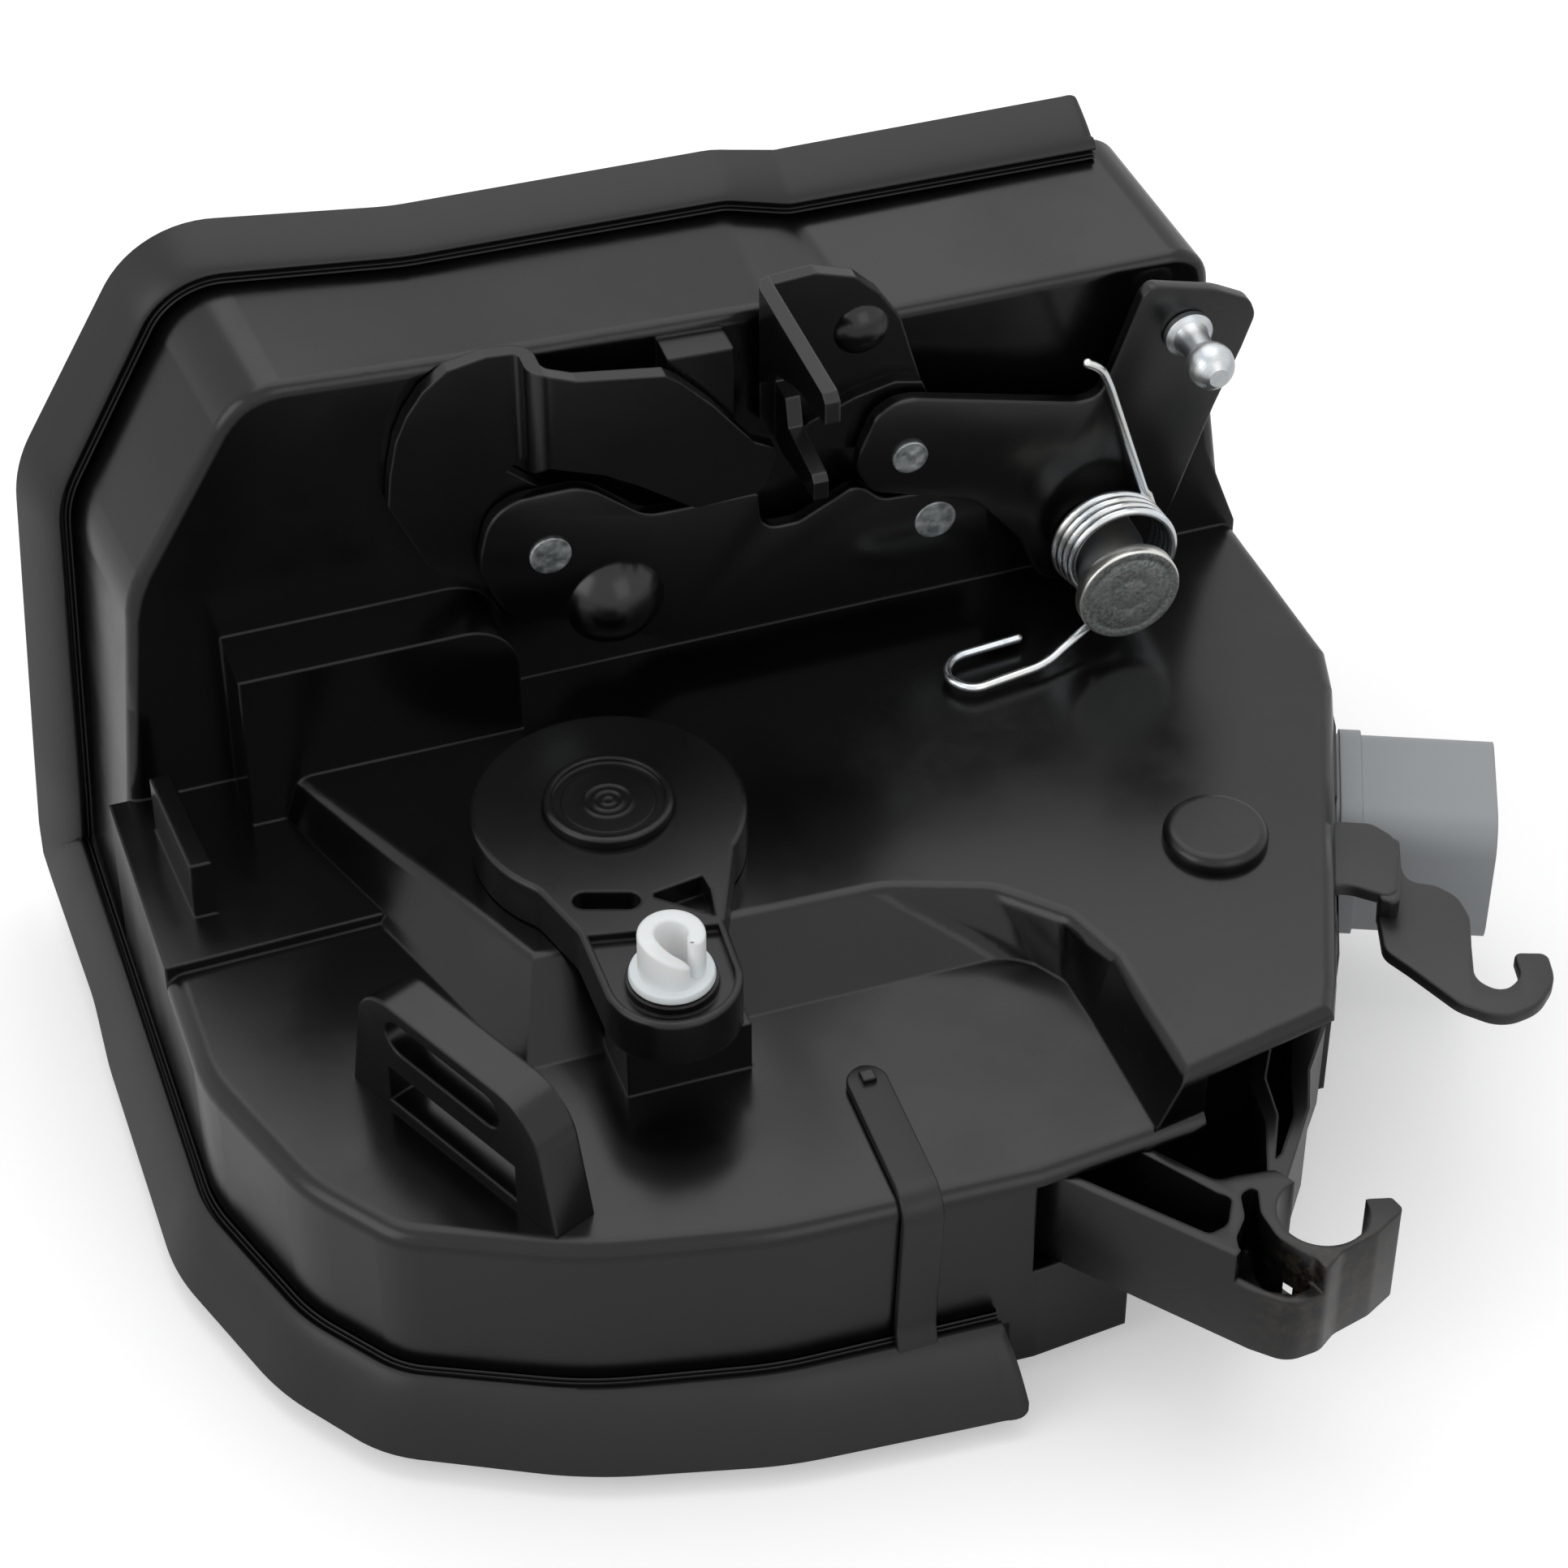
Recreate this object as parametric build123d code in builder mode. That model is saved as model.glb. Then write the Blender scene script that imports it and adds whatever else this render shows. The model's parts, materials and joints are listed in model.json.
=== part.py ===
from build123d import *
import os
from math import cos, radians, sin

os.makedirs("parts", exist_ok=True)

# Door latch actuator: a latch and its lock drive in one moulded housing.
# Millimetres. The origin is on the outer face of the steel latch plate, the door's
# shut face. +Y points out of that face, towards the striker. +Z points away from the
# door's inner panel. +X runs along the shut face, towards the plug socket.

# ---- driving dimensions: housing ----
panel_z = -42.0            # inner panel plane, the housing's open bottom
shelf_z = -10.0            # top of the front shelf
ledge_z = -8.0             # top of the rear left ledge
wall_y = -35.0             # front face of the lever wall
wall_t = 3.0               # thickness of the lever wall
rim_y = -4.0               # rear rim of the housing, where the seal starts
left_x = -103.5            # left side
right_x = 88.5             # right end of the lever wall
top_low_z = 59.8           # top of the lever wall at its right end
top_high_z = 69.4          # top of the lever wall on the left
front_y = -159.5           # front wall
wall = 2.5                 # moulded wall
cover_gap = 0.2            # fit of a cover in its recess
cover_t = 2.2              # moulded covers
seal_t = 2.0               # rubber lip
seal_fit = 0.15            # rubber band on the housing
lip_out = 6.0              # reach of the lip past the band
lip_rise = 4.0             # its height behind the rim
lip_drop = 8.0             # its depth under the open bottom
skirt_low_z = -51.5        # foot of the front wall's skirt, right of the seal
band = 5.0                 # width of the band that grips the housing

loop_l = 39.0              # tie loop on the shelf, at its top
loop_foot_l = 46.8         # and at its foot
loop_h = 22.0
loop_t = 7.4
loop_at = (-67.8, -124.6, shelf_z)
loop_run = (cos(radians(-65.0)), sin(radians(-65.0)), 0.0)

# ---- driving dimensions: steel stack on the lever wall ----
sheet = 2.5                # lever and plate stock
stack_gap = 0.4            # running gap between neighbouring sheets
fold_r = 1.2               # inner radius of a folded lever
plate_t = 3.0              # latch plate
pawl_pin_x = -28.5         # pawl and release lever axis
pawl_pin_z = 30.0
claw_pin_x = 38.0          # claw axis
claw_pin_z = 20.0
main_pin_x = 65.0          # outside lever axis
main_pin_z = 12.5
lift_pin_x = 32.0          # lift lever axis
lift_pin_z = 37.0
pin_fit = 0.05             # radial clearance of a moving part on its pin
pawl_pin_r = 3.5
claw_pin_r = 3.6
lift_pin_r = 3.0
main_pin_r = 5.0
pin_head_r = 8.9
ball_r = 4.0               # ball of the rod stud
ball_x = 80.0
ball_z = 50.6
claw_r = 24.0              # claw rim
claw_t = 5.5
mouth_x = 22.0             # middle of the striker mouth
mouth_r = 6.25             # half the width of the striker mouth
mouth_top_z = 20.0         # striker bar's middle when latched
screw_r = 2.5              # tapping radius of the M6 mounting threads
screw_at = [(-36.0, -26.0), (58.0, -27.0), (-6.0, 4.0)]

# ---- driving dimensions: lock drive on the deck ----
lock_x = -31.0
lock_y = -78.7
lock_r = 22.0              # lock lever disc
lock_h = 8.6               # its height over the deck
hub_r = 10.4
shaft_r = 5.0
clip_x = -33.3
clip_y = -118.6
clip_r = 5.2
clip_flange_r = 6.75
tooth_module = 1.0
wheel_teeth = 48
pinion_teeth = 12
motor_r = 12.0
motor_l = 27.0
motor_turn = 12.0          # direction from the lock shaft to the motor, degrees from +X

# ---- driving dimensions: right side ----
hook_low_z = -14.5         # underside of the inside lever outside the housing
hook_high_z = -10.5        # underside of its root inside the housing
hook_pin_r = 3.0
socket_x = 92.7
socket_y = -87.4
socket_z = -26.3           # middle of the plug socket
socket_h = 26.5
socket_corner = 6.0
socket_w = 27.0
socket_l = 26.8            # how far the socket stands out
socket_turn = -23.6        # degrees from +X
button_x = 61.0
button_y = -108.6
button_r = 8.5
arm_top_z = -12.8          # cable arm, top
arm_low_z = -31.5          # cable arm, underside
seat_r = 7.2               # cable seat
seat_x = 50.0
seat_y = -177.6

# the sheets stand in front of the lever wall one behind the other
release_back = wall_y - 0.5
guide_back = release_back - sheet - stack_gap
outside_back = guide_back - sheet - stack_gap
guide_front = guide_back - sheet
outside_front = outside_back - sheet


# the socket points out of the right wall
socket_out = (cos(radians(socket_turn)), sin(radians(socket_turn)), 0.0)
socket_side = (-socket_out[1], socket_out[0], 0.0)
socket_plane = Plane((socket_x, socket_y, socket_z), x_dir=socket_side, z_dir=socket_out)


def front_plane(back_y):
    """Sketch plane that faces the front, at back_y."""
    return Plane.XZ.offset(-back_y)


def upper_outline(back, grow=0.0):
    """Front outline of the upper box; back is 0 at its front edge and 1 at its rear rim."""
    with BuildSketch(Plane.XY) as outline:
        Polygon(
            (left_x, panel_z), (-96.0 - 3.6 * back, 34.0 + 1.6 * back),
            (-75.4 - 3.7 * back, top_high_z + 3.4 * back), (-42.0, top_high_z - 2.0 + 0.8 * back),
            (10.0 + 2.0 * back, top_high_z - 4.1 + 1.7 * back),
            (27.0 - 4.0 * back, top_low_z + 4.0 * back),
            (right_x - 1.0 - 4.5 * back, top_low_z - 0.6 + 4.2 * back),
            (right_x + 1.9 - 3.0 * back, 27.0), (right_x + 4.7 - 3.5 * back, 8.0),
            (right_x + 7.5 - 5.5 * back, 0.5), (right_x + 7.5 - 6.0 * back, panel_z), align=None,
        )
        for low_x, high_x, radius in ((-110, -90, 20.0), (-85, -60, 12.0), (0, 30, 8.0), (60, 90, 7.0)):
            corners = outline.vertices().filter_by(lambda v: v.Y > 30 and low_x < v.X < high_x)
            fillet(corners, radius)
        if grow:
            offset(amount=grow, kind=Kind.INTERSECTION)
    return outline.sketch


def deck_outline(grow=0.0):
    """Plan outline of the lower box."""
    with BuildSketch(Plane.XY) as outline:
        Polygon(
            (left_x, rim_y), (left_x, -98.0), (-94.5, -125.0), (-84.0, -139.5), (-58.0, -152.0),
            (-30.0, front_y + 1.5), (12.0, front_y), (36.5, front_y + 2.5), (64.0, -151.0),
            (68.0, -144.0), (96.0, -80.0), (98.5, -71.0), (97.0, wall_y), (right_x + 1.5, rim_y),
            align=None,
        )
        fillet(outline.vertices().filter_by(lambda v: v.X > 90), 5.0)
        fillet(outline.vertices().filter_by(lambda v: v.X < -90 and v.Y < -90), 30.0)
        fillet(outline.vertices().filter_by(lambda v: -90 < v.X < -80 and v.Y < -90), 14.0)
        fillet(outline.vertices().filter_by(lambda v: -70 < v.X < -20 and v.Y < -90), 60.0)
        if grow:
            offset(amount=grow, kind=Kind.INTERSECTION)
    return outline.sketch


# raised deck: its top outline and the foot of its slopes, corner by corner
deck_top = [
    (-76.0, wall_y + 1), (-76.0, -43.0), (-50.0, -99.0), (5.0, -101.5), (22.0, -107.5),
    (31.5, -117.0), (35.5, -128.0), (36.5, -156.0), (63.0, -150.0), (66.5, -143.0),
    (94.5, -79.5), (97.0, -71.0), (95.5, wall_y + 1),
]
deck_foot = [
    (-79.5, wall_y + 1), (-79.5, -40.0), (-55.5, -113.0), (24.0, -113.5), (27.5, -117.0),
    (30.5, -122.0), (31.0, -131.0), (31.5, -156.5), (63.8, -151.0), (67.6, -144.0),
    (95.6, -80.0), (98.1, -71.0), (96.6, wall_y + 1),
]

# ---- outer forms that the housing is put together from ----
with BuildPart() as lower_box:
    with BuildSketch(Plane.XY.offset(panel_z)):
        add(deck_outline())
        with Locations((-95.0, wall_y / 2 + 1.0)):
            Rectangle(30.0, -wall_y, mode=Mode.SUBTRACT)
    extrude(amount=shelf_z - panel_z)
    shelf_edges = lower_box.faces().sort_by(Axis.Z)[-1].edges()
    fillet(shelf_edges.filter_by(lambda e: e.center().Y < -40 and e.center().X < 34), 3.0)

with BuildPart() as deck:
    with BuildSketch(Plane.XY.offset(shelf_z)):
        Polygon(*deck_foot, align=None)
    with BuildSketch(Plane.XY):
        Polygon(*deck_top, align=None)
    loft(ruled=True)
    corners = deck.edges().filter_by(lambda e: shelf_z + 1 < e.center().Z < -1)
    fillet(corners.filter_by(lambda e: 0 < e.center().X < 34 and e.center().Y > -125), 4.0)
    deck_edges = deck.faces().sort_by(Axis.Z)[-1].edges()
    fillet(deck_edges.filter_by(lambda e: e.center().Y < wall_y - 2), 2.5)

# ---- housing: upper box behind the lever wall, lower box under the deck ----
with BuildPart() as housing:
    with BuildSketch(front_plane(wall_y)):
        add(upper_outline(0.0))
    with BuildSketch(front_plane(rim_y)):
        add(upper_outline(1.0))
    loft(ruled=True)
    front_edges = housing.faces().sort_by(Axis.Y)[0].edges()
    fillet(front_edges.filter_by(lambda e: e.center().Z > 10), 2.0)
    add(lower_box.part)
    add(deck.part)
    # skirt of the front wall
    with BuildSketch(Plane.XY.offset(skirt_low_z)):
        add(deck_outline())
        add(deck_outline(-wall), mode=Mode.SUBTRACT)
        with Locations((17.8, front_y)):
            Rectangle(20.6, 20.0, mode=Mode.INTERSECT)
    extrude(amount=panel_z - skirt_low_z + 1)
    with BuildSketch(Plane.XY.offset(ledge_z)):
        Polygon((left_x, -75.0), (-67.5, -74.0), (-78.5, -42.0), (-78.5, wall_y + 0.5),
                (left_x, wall_y + 0.5), align=None)
    extrude(amount=shelf_z - ledge_z - 4.0)
    # fin beside the left end of the lever wall
    with BuildSketch(Plane.XY.offset(ledge_z)):
        Polygon((-97.5, -42.7), (-94.0, -42.7), (-92.6, -65.2), (-96.2, -65.2), align=None)
    extrude(amount=11.0)
    # stop block in the left corner
    with BuildSketch(front_plane(wall_y)) as stop_face:
        Polygon((-82.2, ledge_z), (-82.2, 22.4), (-36.0, 22.4), (-36.0, ledge_z), align=None)
        fillet(stop_face.vertices().filter_by(lambda v: v.X > -40 and v.Y > 0), 9.0)
    extrude(amount=12.0)
    # block over the guide plate
    with BuildSketch(front_plane(wall_y)):
        Polygon((-8.0, 41.0), (-8.0, 64.0), (3.0, 63.6), (3.0, 41.0), align=None)
    extrude(amount=6.0)
    # post under the lock lever's rod end
    with BuildSketch(Plane.XY.offset(shelf_z)):
        with Locations((clip_x + 1.0, clip_y + 1.0)):
            Rectangle(20.0, 12.0)
    extrude(amount=9.6)
    # boss that carries the main pin
    with BuildSketch(front_plane(wall_y)):
        with Locations((main_pin_x, main_pin_z)):
            Circle(pin_head_r - 1.0)
    extrude(amount=wall_y - outside_back - stack_gap)
    # peg that holds the seal's strap
    with BuildSketch(Plane.XY.offset(shelf_z)):
        with Locations((-6.8, -133.2)):
            Rectangle(2.2, 2.2)
    extrude(amount=2.6)
    # upper cavity, open to the rear
    with BuildSketch(front_plane(wall_y + wall_t)):
        add(upper_outline(0.0, -wall))
    with BuildSketch(front_plane(rim_y + 1)):
        add(upper_outline(1.0, -wall))
    loft(ruled=True, mode=Mode.SUBTRACT)
    # lower cavity, open to the inner panel
    with BuildSketch(Plane.XY.offset(panel_z)):
        add(deck_outline(-wall))
        with Locations((0, wall_y / 2)):
            Rectangle(260, wall - wall_y, mode=Mode.SUBTRACT)
    extrude(amount=shelf_z - wall - panel_z, mode=Mode.SUBTRACT)
    with BuildSketch(Plane.XY.offset(shelf_z - wall - 0.01)):
        Polygon(*deck_foot, align=None)
        offset(amount=-wall - 0.8, kind=Kind.INTERSECTION)
    with BuildSketch(Plane.XY.offset(-wall)):
        Polygon(*deck_top, align=None)
        offset(amount=-wall - 0.8, kind=Kind.INTERSECTION)
    loft(ruled=True, mode=Mode.SUBTRACT)
    # striker channel through the bottom of the upper box
    with BuildSketch(Plane.XY.offset(panel_z - 1)):
        with Locations((mouth_x, -13.0)):
            Rectangle(2 * mouth_r + 6, 30.0)
    extrude(amount=wall + 2, mode=Mode.SUBTRACT)
    # opening for the cable arm, and the open front right corner
    with BuildSketch(front_plane(front_y + 12)):
        Polygon((11.0, arm_low_z), (11.0, shelf_z - wall), (66.0, shelf_z - wall),
                (66.0, panel_z - 1), (27.0, panel_z - 1), (27.0, arm_low_z), align=None)
    extrude(amount=30.0, mode=Mode.SUBTRACT)
    with BuildSketch(front_plane(front_y + 12)):
        Polygon((40.0, shelf_z - wall - 1), (40.0, -wall), (66.0, -wall), (66.0, shelf_z - wall - 1),
                align=None)
    extrude(amount=30.0, mode=Mode.SUBTRACT)
    with BuildSketch(Plane.XY.offset(panel_z - 1)):
        Polygon((50.0, -165.0), (50.0, -129.0), (90.0, -129.0), (90.0, -165.0), align=None)
    extrude(amount=-wall - panel_z + 1, mode=Mode.SUBTRACT)
    # slot in the right wall for the inside lever
    with BuildSketch(Plane.XY.offset(hook_high_z - 1.0)):
        Polygon((80.0, -96.0), (98.0, -96.0), (84.0, -130.0), (66.0, -130.0), align=None)
    extrude(amount=sheet + 2.0, mode=Mode.SUBTRACT)
    # window in the right wall for the plug socket
    with BuildSketch(socket_plane):
        RectangleRounded(socket_w + 2 * cover_gap, socket_h + 2 * cover_gap, socket_corner)
    extrude(amount=9.0, both=True, mode=Mode.SUBTRACT)
    # bores for the pins and the lock shaft
    with BuildSketch(front_plane(wall_y + wall_t + 1)):
        with Locations((pawl_pin_x, pawl_pin_z)):
            Circle(pawl_pin_r + pin_fit)
        with Locations((claw_pin_x, claw_pin_z)):
            Circle(claw_pin_r + pin_fit)
        with Locations((main_pin_x, main_pin_z)):
            Circle(main_pin_r + pin_fit)
    extrude(amount=30.0, mode=Mode.SUBTRACT)
    with BuildSketch(Plane.XY.offset(1)):
        with Locations((lock_x, lock_y)):
            Circle(shaft_r + pin_fit)
        with Locations((button_x, button_y)):
            Circle(button_r - 4.5 + pin_fit)
    extrude(amount=-8.0, mode=Mode.SUBTRACT)
housing.part.label = "housing"
export_step(housing.part, "parts/housing.step")

# ---- tie loop on the shelf ----
with BuildPart() as tie_loop:
    with BuildSketch(Plane(loop_at, x_dir=loop_run, z_dir=(loop_run[1], -loop_run[0], 0.0))) as loop_face:
        Polygon((0.6 - loop_foot_l / 2, 0), (0.6 + loop_foot_l / 2, 0), (loop_l / 2, loop_h),
                (-loop_l / 2, loop_h), align=None)
        fillet(loop_face.vertices().filter_by(lambda v: v.X < 0 and v.Y > 0), 7.0)
        fillet(loop_face.vertices().filter_by(lambda v: v.X > 0 and v.Y > 10), 9.5)
        with Locations((-1.0, loop_h - 5.6)):
            SlotOverall(loop_l - 13.0, 6.4, mode=Mode.SUBTRACT)
        with Locations((0.5, 5.0)):
            Rectangle(loop_l - 10.0, 7.4, mode=Mode.SUBTRACT)
    extrude(amount=loop_t / 2, both=True)
tie_loop.part.label = "tie_loop"
export_step(tie_loop.part, "parts/tie_loop.step")

# ---- seal: a band round the housing and a lip that flares out from it ----
with BuildPart() as seal:
    with BuildSketch(front_plane(rim_y)):
        add(upper_outline(1.0, seal_fit + seal_t))
    with BuildSketch(front_plane(rim_y + lip_rise)):
        add(upper_outline(1.0, seal_fit + seal_t + lip_out))
    loft(ruled=True)
    with BuildSketch(front_plane(rim_y)):
        add(upper_outline(1.0, seal_fit + seal_t))
    extrude(amount=band)
    with BuildSketch(front_plane(rim_y)):
        add(upper_outline(1.0, seal_fit))
    with BuildSketch(front_plane(rim_y + lip_rise + 0.01)):
        add(upper_outline(1.0, seal_fit + lip_out))
    loft(ruled=True, mode=Mode.SUBTRACT)
    with BuildSketch(front_plane(rim_y)):
        add(upper_outline(1.0, seal_fit))
    extrude(amount=band + 1, mode=Mode.SUBTRACT)
    # open right end of the lip, and the mitre where the lower run takes over
    with BuildSketch(front_plane(rim_y + lip_rise + 1)):
        Polygon((77.0, 90.0), (77.0, -90.0), (130.0, -90.0), (130.0, 90.0), align=None)
    extrude(amount=40.0, mode=Mode.SUBTRACT)
    with BuildSketch(Plane.YZ.offset(-140)):
        Polygon((rim_y + 30 * lip_rise / lip_out, panel_z - 30), (rim_y, panel_z),
                (rim_y - 30, panel_z + 30), (rim_y - 30, panel_z - 30), align=None)
    extrude(amount=280, mode=Mode.SUBTRACT)
with BuildPart() as seal_low:
    with BuildSketch(Plane.XY.offset(panel_z - lip_drop)):
        add(deck_outline(seal_fit + seal_t + lip_out))
    with BuildSketch(Plane.XY.offset(panel_z)):
        add(deck_outline(seal_fit + seal_t))
    loft(ruled=True)
    with BuildSketch(Plane.XY.offset(panel_z)):
        add(deck_outline(seal_fit + seal_t))
    extrude(amount=band)
    with BuildSketch(Plane.XY.offset(panel_z - lip_drop - 0.01)):
        add(deck_outline(seal_fit + lip_out))
    with BuildSketch(Plane.XY.offset(panel_z)):
        add(deck_outline(seal_fit))
    loft(ruled=True, mode=Mode.SUBTRACT)
    # strap up the front wall to its peg on the shelf
    with BuildSketch(Plane.XY.offset(panel_z)):
        add(deck_outline(seal_fit + 1.6))
        with Locations((-6.8, -150.0)):
            Rectangle(6.7, 60.0, mode=Mode.INTERSECT)
    extrude(amount=shelf_z + 1.75 - panel_z)
    with BuildSketch(Plane.XY.offset(shelf_z + 0.15)):
        with Locations((-6.8, -137.0)):
            Rectangle(9.0, 42.0)
    extrude(amount=1.6 + 30, mode=Mode.SUBTRACT)
    with BuildSketch(Plane.XY.offset(shelf_z + 0.15)):
        with Locations((-6.8, -146.3)):
            SlotOverall(32.6, 6.7, rotation=90)
        with Locations((-6.8, -133.2)):
            Rectangle(2.2 + 2 * cover_gap, 2.2 + 2 * cover_gap, mode=Mode.SUBTRACT)
    extrude(amount=1.6)
    with BuildSketch(Plane.XY.offset(panel_z - 1)):
        add(deck_outline(seal_fit))
    extrude(amount=shelf_z + 0.15 - panel_z + 1, mode=Mode.SUBTRACT)
    with BuildSketch(Plane.XY.offset(panel_z - lip_drop - 1)):
        Polygon((6.0, 20.0), (130.0, 20.0), (130.0, -200.0), (6.0, -200.0), align=None)
    extrude(amount=60.0, mode=Mode.SUBTRACT)
    with BuildSketch(Plane.YZ.offset(-140)):
        Polygon((rim_y + 30 * lip_rise / lip_out, panel_z - 30), (rim_y, panel_z),
                (rim_y - 30, panel_z + 30), (rim_y + 30, panel_z + 30), align=None)
    extrude(amount=280, mode=Mode.SUBTRACT)
with BuildPart() as seal_all:
    add(seal.part)
    add(seal_low.part)
seal_all.part.label = "seal"
export_step(seal_all.part, "parts/seal.step")

# ---- latch plate: the steel face of the latch, folded under the housing ----
with BuildPart() as latch_plate:
    with BuildSketch(front_plane(0.0)):
        Polygon((-47.0, panel_z - plate_t), (-47.0, 36.0), (-36.0, 50.0), (52.0, 50.0), (66.0, 36.0),
                (66.0, panel_z - plate_t), align=None)
    extrude(amount=plate_t)
    with BuildSketch(Plane.XY.offset(panel_z)):
        Polygon((-47.0, 0.0), (66.0, 0.0), (66.0, -26.0), (58.0, -34.0), (-39.0, -34.0),
                (-47.0, -26.0), align=None)
    extrude(amount=-plate_t)
    fillet(latch_plate.edges().filter_by(Axis.X).sort_by_distance((10, 0, panel_z - plate_t))[0], 4.0)
    # striker mouth through both faces
    with BuildSketch(front_plane(1.0)):
        with Locations((mouth_x, mouth_top_z)):
            Circle(mouth_r)
        with Locations((mouth_x, (mouth_top_z + panel_z) / 2 - 4)):
            Rectangle(2 * mouth_r, mouth_top_z - panel_z + 8)
        Polygon((mouth_x - mouth_r - 4, panel_z - 4), (mouth_x + mouth_r + 4, panel_z - 4),
                (mouth_x + mouth_r, panel_z + 8), (mouth_x - mouth_r, panel_z + 8), align=None)
    extrude(amount=36.0, mode=Mode.SUBTRACT)
    # mounting threads, claw pin and pawl pin
    with BuildSketch(front_plane(1.0)):
        with Locations(*screw_at):
            Circle(screw_r)
        with Locations((pawl_pin_x, pawl_pin_z)):
            Circle(pawl_pin_r + pin_fit)
        with Locations((claw_pin_x, claw_pin_z)):
            Circle(claw_pin_r + pin_fit)
    extrude(amount=plate_t + 2, mode=Mode.SUBTRACT)
latch_plate.part.label = "latch_plate"
export_step(latch_plate.part, "parts/latch_plate.step")

# ---- latch body: moulded block that holds the claw and the pawl ----
body_back = rim_y + 0.7
pocket_y = body_back - 8.7
body_front = wall_y + wall_t + 0.3
with BuildPart() as latch_body:
    with BuildSketch(front_plane(body_back)):
        Polygon((-45.0, panel_z + wall + 0.3), (-45.0, 38.0), (-36.0, 53.0), (54.0, 53.0), (66.0, 40.0),
                (66.0, panel_z + wall + 0.3), align=None)
    extrude(amount=body_back - body_front)
    # pocket round the claw and the pawl, open to the latch plate
    with BuildSketch(front_plane(body_back)):
        with Locations((claw_pin_x, claw_pin_z)):
            Circle(claw_r + 1.0)
        Polygon((-40.0, 20.0), (-40.0, 40.0), (-33.0, 50.0), (40.0, 50.0), (46.0, 40.0), (20.0, 26.0),
                (-20.0, 21.0), (-24.0, 17.0), (-36.0, 17.0), align=None)
    extrude(amount=body_back - pocket_y, mode=Mode.SUBTRACT)
    # striker channel
    with BuildSketch(front_plane(body_back)):
        with Locations((mouth_x, mouth_top_z)):
            Circle(mouth_r + 1.5)
        with Locations((mouth_x, (mouth_top_z + panel_z) / 2 - 4)):
            Rectangle(2 * mouth_r + 3, mouth_top_z - panel_z + 8)
    extrude(amount=body_back + 26.0, mode=Mode.SUBTRACT)
    # spring recesses round the two pins
    with BuildSketch(front_plane(pocket_y + 1)):
        with Locations((pawl_pin_x, pawl_pin_z)):
            Circle(7.0)
        with Locations((claw_pin_x, claw_pin_z)):
            Circle(7.0)
    extrude(amount=8.0, mode=Mode.SUBTRACT)
    with BuildSketch(front_plane(body_back)):
        with Locations((pawl_pin_x, pawl_pin_z)):
            Circle(pawl_pin_r + pin_fit)
        with Locations((claw_pin_x, claw_pin_z)):
            Circle(claw_pin_r + pin_fit)
    extrude(amount=40.0, mode=Mode.SUBTRACT)
    # room for the mounting screws
    with BuildSketch(front_plane(body_back)):
        with Locations(*screw_at):
            Circle(screw_r + 1.2)
    extrude(amount=14.0, mode=Mode.SUBTRACT)
latch_body.part.label = "latch_body"
export_step(latch_body.part, "parts/latch_body.step")

# ---- claw, drawn open: the slot faces the incoming striker ----
claw_back = pocket_y + 0.5 + claw_t
with BuildPart() as claw:
    with BuildSketch(front_plane(claw_back)):
        with Locations((claw_pin_x, claw_pin_z)):
            Circle(claw_r)
    extrude(amount=claw_t)
    with BuildSketch(front_plane(claw_back)):
        # slot for the striker bar, turned 65 degrees out of the latched position
        with Locations(Location((claw_pin_x, claw_pin_z), 65.0)):
            with Locations((-16.0, 0.0)):
                Circle(mouth_r + 0.5)
            with Locations((-16.0 - 12.0, 0.0)):
                Rectangle(24.0, 2 * mouth_r + 1.0)
        # two notches for the pawl: one for the open claw, one for the latched claw
        for notch_angle in (105.0, 170.0):
            with Locations(Location((claw_pin_x, claw_pin_z), notch_angle)):
                with Locations((claw_r + 1.0, 0.0)):
                    Rectangle(14.0, 12.5)
        with Locations((claw_pin_x, claw_pin_z)):
            Circle(claw_pin_r + pin_fit)
        # relief on the far side, away from the pawl
        with Locations(Location((claw_pin_x, claw_pin_z), 20.0)):
            with Locations((claw_r + 2.0, 0.0)):
                Rectangle(16.0, 60.0)
    extrude(amount=claw_t, mode=Mode.SUBTRACT)
claw.part.label = "claw"
export_step(claw.part, "parts/claw.step")

# ---- pawl, drawn lifted clear of the claw's rim ----
pawl_tip_r = claw_r + 0.6
pawl_tip = (claw_pin_x + pawl_tip_r * cos(radians(105.0)), claw_pin_z + pawl_tip_r * sin(radians(105.0)))
with BuildPart() as pawl:
    with BuildSketch(front_plane(claw_back)):
        with Locations((pawl_pin_x, pawl_pin_z)):
            Circle(8.5)
        Polygon((pawl_pin_x - 2, pawl_pin_z + 8.2), (pawl_tip[0] + 3.5, pawl_tip[1] + 5.0),
                (pawl_tip[0] + 4.2, pawl_tip[1] + 1.8), (pawl_tip[0] - 3.2, pawl_tip[1] - 0.2),
                (pawl_tip[0] - 3.7, pawl_tip[1] + 3.0), (pawl_tip[0] - 9.0, pawl_tip[1] + 2.6),
                (pawl_pin_x + 6, pawl_pin_z - 5.5), align=None)
        with Locations((pawl_pin_x, pawl_pin_z)):
            Circle(pawl_pin_r + pin_fit, mode=Mode.SUBTRACT)
    extrude(amount=claw_t)
pawl.part.label = "pawl"
export_step(pawl.part, "parts/pawl.step")

# ---- the two long pins, riveted flush at both ends ----
with BuildPart() as claw_pin:
    with BuildSketch(front_plane(-0.1)):
        with Locations((claw_pin_x, claw_pin_z)):
            Circle(claw_pin_r)
    extrude(amount=-0.1 - guide_front + 0.15)
claw_pin.part.label = "claw_pin"
export_step(claw_pin.part, "parts/claw_pin.step")

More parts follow.
